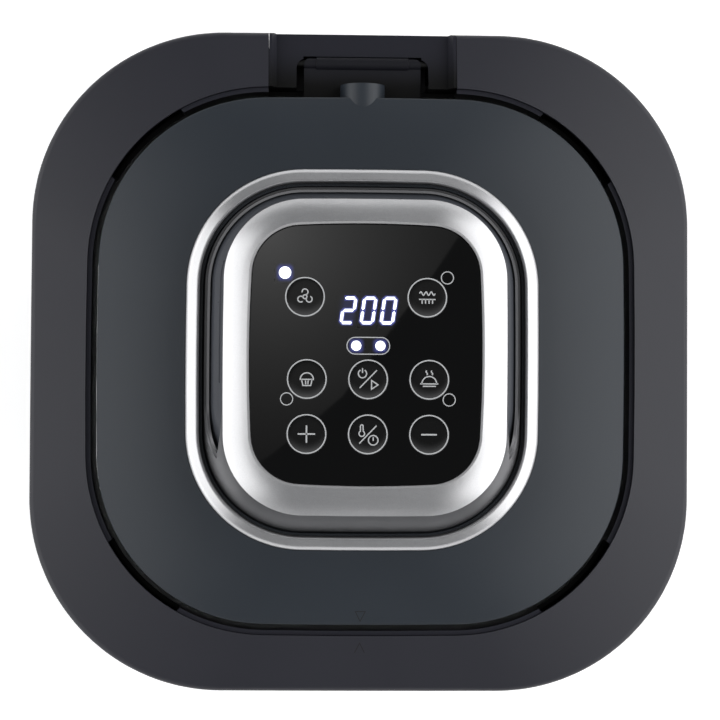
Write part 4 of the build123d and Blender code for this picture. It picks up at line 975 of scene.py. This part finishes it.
class FRYER_OT_panel(bpy.types.Operator):
    """Make the touch glass, its dished keys, rings and icons"""

    bl_idname = "fryer.panel"
    bl_label = "Touch Panel"

    def execute(self, context):
        colours = context.scene.fryer_finishes
        panel = context.scene.fryer_panel
        dress(panel_glass("panel_black", colours.glaze), "touch_glass")
        face = key_face("key_face", colours.glaze)
        ink = printed_ink("panel_ink", panel.ink)
        radius = panel.key / 2 - panel.line / 2
        crest = GLASS_TOP + panel.well + INK
        for name, centre in key_places(panel).items():
            dished_key(f"key_{name}", centre, radius, panel.well, face)
            ring = Sheet(f"ring_{name}")
            ring.line(arc(centre, radius, 0, 360, 96)[:-1], panel.line, crest, closed=True)
            ring.make(ink, "lid")
            icon = Sheet(f"icon_{name}")
            height = GLASS_TOP + panel.well * 0.3
            for points, width, closed in ICONS[name](ICON_LINE):
                if closed and math.dist(points[0], points[-1]) < 0.0001:
                    points = points[:-1]
                placed = shift(points, centre, MILLIMETRE)
                icon.line(placed, width * MILLIMETRE, height, closed)
            icon.make(ink, "lid", panel.well * 0.4)
        return {"FINISHED"}


class FRYER_OT_lamps(bpy.types.Operator):
    """Make the mode lamps, the lamp pill and the display digits with their glow"""

    bl_idname = "fryer.lamps"
    bl_label = "Lamps and Display"

    def execute(self, context):
        panel = context.scene.fryer_panel
        ink = printed_ink("lamp_ink", panel.ink)
        lit = lit_mark("lamp_lit", panel.light, LIT_STRENGTH)
        fringe = light_fringe("digit_fringe", panel.glow, FRINGE_STRENGTH)
        keys = key_places(panel)
        radius = panel.lamp / 2
        small = radius * 0.82
        flat = GLASS_TOP + INK
        offset = panel.lamp_offset
        for name, side, rise in (("grill", 1, 1), ("bake", -1, -1), ("roast", 1, -1)):
            centre = (keys[name][0] + side * offset, keys[name][1] + rise * offset)
            ring = Sheet(f"lamp_ring_{name}")
            ring.line(arc(centre, radius, 0, 360, 40)[:-1], panel.line * 0.8, flat, closed=True)
            ring.make(ink, "lid")
        middle = PANEL_X + panel.shift
        fan = keys["fan"]
        lamps = {
            "fan": (fan[0] - offset, fan[1] + offset + panel.lamp_rise, radius),
            "pill_left": (middle - panel.pill_lamp / 2, PANEL_Y + panel.pill_y, small),
            "pill_right": (middle + panel.pill_lamp / 2, PANEL_Y + panel.pill_y, small),
        }
        for name, (x, y, size) in lamps.items():
            lamp = Sheet(f"lamp_{name}")
            lamp.fill(arc((x, y), size, 0, 360, 40)[:-1], flat + 2 * INK)
            lamp.make(lit, "lid")
            self.spill(f"haze_{name}", (x, y), (size, size), LAMP_HAZE, 0.0, panel.glow, flat)
        half_x = panel.pill_width / 2 - panel.pill_height / 2
        half_y = panel.pill_height / 2
        centre = (middle, PANEL_Y + panel.pill_y)
        outline = arc((centre[0] + half_x, centre[1]), half_y, -90, 90, 20)
        outline += arc((centre[0] - half_x, centre[1]), half_y, 90, 270, 20)
        pill = Sheet("lamp_pill")
        pill.line(outline, panel.line * 0.8, flat + 2 * INK, closed=True)
        pill.make(ink, "lid")
        for place, digit in enumerate("200"):
            centre = (middle + (place - 1) * panel.digit_pitch, PANEL_Y + panel.digit_y)
            bars = Sheet(f"digit_{place + 1}")
            size = (panel.digit_width - panel.digit_line, panel.digit_height - panel.digit_line)
            for part in LIT[digit]:
                outline = segment_outline(*SEGMENTS[part], size, panel.digit_line)
                bars.fill(shift(outline, centre, lean=panel.slant), flat + 2 * INK)
            bars.make(lit, "lid")
            half = (panel.digit_width / 2, panel.digit_height / 2)
            name = f"haze_digit_{place + 1}"
            self.spill(name, centre, half, DIGIT_HAZE, panel.slant, panel.glow, flat)
            halo = Sheet(f"halo_digit_{place + 1}")
            path = [((x - 0.5) * size[0], (y / 2 - 0.5) * size[1]) for x, y in STROKES[digit]]
            closed = digit == "0"
            path = cut_corners(path, panel.digit_line * 0.6, closed)
            path = shift(path, centre, lean=panel.slant)
            halo.line(path, panel.digit_line + FRINGE_WIDTH, flat + INK, closed)
            halo.make(fringe, "lid", INK / 3)
        return {"FINISHED"}

    @staticmethod
    def spill(name, centre, half, spread, lean, colour, height):
        """The haze round one lit mark: its spread is a reach and a strength."""
        reach, strength = spread
        core = 0.6
        wide = half[0] + reach
        tall = half[1] + reach
        corners = [(-wide, -tall), (wide, -tall), (wide, tall), (-wide, tall)]
        sheet = Sheet(name)
        sheet.fill(shift(corners, centre), height)
        inner = (half[0] * core, half[1] * core)
        fade = reach + half[0] * 0.4
        material = haze(f"{name}_light", colour, inner, fade, lean, strength)
        sheet.make(material, "lid", INK / 3)


class FRYER_OT_marks(bpy.types.Operator):
    """Draw the two small marks that line the lid up with the collar, as the painted shade of an
    engraving
    """

    bl_idname = "fryer.marks"
    bl_label = "Alignment Marks"

    def execute(self, context):
        colours = context.scene.fryer_finishes
        # Painted shade: the marks are thin flat lines darker than the plastic, in place of the
        # shade inside engraved grooves.
        engraving_shade = moulded_plastic("engraving_shade_line", shade(colours.dark, 0.8), 0.6, colours.grain)
        half = MARK_HALF
        down = [(-half, half), (half, half), (0.0, -half)]
        up = [(-half, -half), (0.0, half), (half, -half)]
        marks = {
            "lid_mark": ("lid_cover", "lid", LID_MARK_Y, down, True, "lid_plastic"),
            "collar_mark": ("collar_top", "frame", COLLAR_MARK_Y, up, False, "collar_plastic"),
        }
        for name, (node, body, place, points, closed, slot) in marks.items():
            sheet = Sheet(name)
            sheet.line(shift(points, (0.0, place)), MARK_LINE, 0.0, closed)
            for vertex in sheet.mesh.verts:
                vertex.co[2] = surface_height(node, vertex.co[0], vertex.co[1]) + INK / 2
            sheet.make(engraving_shade, body)
        return {"FINISHED"}


class FRYER_OT_stage(bpy.types.Operator):
    """Set up the camera, the pale floor and the soft studio lamps"""

    bl_idname = "fryer.stage"
    bl_label = "Studio"

    def execute(self, context):
        studio = context.scene.fryer_studio
        self.camera(context, studio)
        self.floor(context, studio)
        self.surround(context, studio)
        self.lamp(context, "left_softbox", studio.left_place, LEFT_SIZE, studio.left_level)
        self.lamp(context, "right_softbox", studio.right_place, RIGHT_SIZE, studio.right_level)
        self.card(context, studio)
        context.scene.view_settings.view_transform = "Standard"
        return {"FINISHED"}

    @staticmethod
    def camera(context, studio):
        data = bpy.data.cameras.new("camera")
        data.lens = studio.lens
        data.sensor_width = 36.0
        data.clip_start = 0.05
        camera = new_object("camera", data)
        ahead = (Vector(studio.aim) - Vector(studio.camera)).normalized()
        right = ahead.cross(Vector((0.0, 1.0, 0.0))).normalized()
        up = right.cross(ahead)
        turn = math.radians(studio.roll)
        tilted_up = up * math.cos(turn) - right * math.sin(turn)
        tilted_right = right * math.cos(turn) + up * math.sin(turn)
        matrix = camera.matrix_world.to_3x3()
        matrix.col[0] = tilted_right
        matrix.col[1] = tilted_up
        matrix.col[2] = -ahead
        camera.rotation_mode = "QUATERNION"
        camera.rotation_quaternion = matrix.to_quaternion()
        camera.location = studio.camera
        context.scene.camera = camera

    @staticmethod
    def floor(context, studio):
        data = bpy.data.meshes.new("floor")
        half = FLOOR_HALF
        corners = [(-half, -half), (half, -half), (half, half), (-half, half)]
        points = [(x, y, z) for z in (0.0, RIM_HEIGHT) for x, y in corners]
        sides = [(side, (side + 1) % 4, (side + 1) % 4 + 4, side + 4) for side in range(4)]
        data.from_pydata(points, [], [(0, 1, 2, 3)] + sides)
        floor = new_object("floor", data)
        finish = Finish("pale_floor")
        paper = finish.noise(size=0.02, detail=3.0)
        path = finish.parts("ShaderNodeLightPath")
        seen = path["Is Camera Ray"] + path["Is Glossy Ray"] + path["Is Transmission Ray"]
        place = finish.axes()
        away = (place["X"] * place["X"] + place["Y"] * place["Y"]) ** 0.5
        far = finish.between(away, *FLOOR_FADE)
        level = studio.floor_lift + far * (studio.far_lift - studio.floor_lift)
        lift = finish.add(
            "ShaderNodeEmission",
            sockets={"Color": (1.0, 1.0, 1.0, 1.0), "Strength": seen * level},
        )
        colour = finish.mix(paper, shade(studio.floor, 0.99), shade(studio.floor, 1.0))
        matt = finish.add("ShaderNodeBsdfDiffuse", sockets={"Color": colour})
        shader = finish.add("ShaderNodeAddShader", sockets={0: matt, 1: lift})
        data.materials.append(finish.end(shader))

    @staticmethod
    def card(context, studio):
        """A dim card that only mirrors see, whose edge lies across the touch glass."""
        eye = studio.camera
        ratio = (studio.card_height - GLASS_TOP) / (eye[2] - GLASS_TOP)
        edge = [(x + (x - eye[0]) * ratio, y + (y - eye[1]) * ratio) for x, y in CARD_EDGE]
        outline = [(x, y, studio.card_height) for x, y in edge + CARD_BACK]
        data = bpy.data.meshes.new("mirrored_card")
        data.from_pydata(outline, [], [range(len(outline))])
        card = new_object("mirrored_card", data)
        finish = Finish("card_light")
        corner = (edge[0][0] + CARD_BRIGHT[0], edge[0][1] + CARD_BRIGHT[1], studio.card_height)
        away = finish.vector("DISTANCE", finish.place(), corner, output=1)
        fall = finish.add("ShaderNodeMath", {"operation": "EXPONENT"}, {0: away / -CARD_FALL})
        glow = finish.add("ShaderNodeEmission", sockets={"Strength": fall * studio.top_level})
        clear = finish.add("ShaderNodeBsdfTransparent")
        straight = finish.parts("ShaderNodeLightPath")["Is Camera Ray"]
        shader = finish.add("ShaderNodeMixShader", sockets={0: straight, 1: glow, 2: clear})
        data.materials.append(finish.end(shader))

    @staticmethod
    def surround(context, studio):
        world = bpy.data.worlds.new("room")
        context.scene.world = world
        world.use_nodes = True
        background = world.node_tree.nodes["Background"]
        background.inputs["Color"].default_value = tuple(studio.surround) + (1.0,)
        background.inputs["Strength"].default_value = studio.surround_level

    @staticmethod
    def lamp(context, name, place, size, power):
        target = context.scene.fryer_studio.lamp_aim
        data = bpy.data.lights.new(name, "AREA")
        data.shape = "RECTANGLE"
        data.size = size[0]
        data.size_y = size[1]
        data.energy = power
        lamp = new_object(name, data)
        lamp.location = place
        lamp.rotation_mode = "QUATERNION"
        lamp.rotation_quaternion = (Vector(target) - Vector(place)).to_track_quat("-Z", "Y")


STEPS = (
    FRYER_OT_plastics,
    FRYER_OT_silver,
    FRYER_OT_metals,
    FRYER_OT_bowl,
    FRYER_OT_boards,
    FRYER_OT_panel,
    FRYER_OT_lamps,
    FRYER_OT_marks,
    FRYER_OT_stage,
)


class FRYER_PT_sidebar(bpy.types.Panel):
    """Buttons for each step of the dressing."""

    bl_idname = "FRYER_PT_sidebar"
    bl_label = "Air Fryer"
    bl_space_type = "VIEW_3D"
    bl_region_type = "UI"
    bl_category = "Air Fryer"

    def draw(self, context):
        for step in STEPS:
            self.layout.operator(step.bl_idname)


CLASSES = (FryerFinishes, FryerPanel, FryerStudio, *STEPS, FRYER_PT_sidebar)


def register():
    for item in CLASSES:
        bpy.utils.register_class(item)
    bpy.types.Scene.fryer_finishes = bpy.props.PointerProperty(type=FryerFinishes)
    bpy.types.Scene.fryer_panel = bpy.props.PointerProperty(type=FryerPanel)
    bpy.types.Scene.fryer_studio = bpy.props.PointerProperty(type=FryerStudio)


def unregister():
    del bpy.types.Scene.fryer_studio
    del bpy.types.Scene.fryer_panel
    del bpy.types.Scene.fryer_finishes
    for item in reversed(CLASSES):
        bpy.utils.unregister_class(item)


def main():
    """Dresses the air fryer."""
    register()
    for step in STEPS:
        group, name = step.bl_idname.split(".")
        getattr(getattr(bpy.ops, group), name)()


if __name__ == "__main__":
    main()
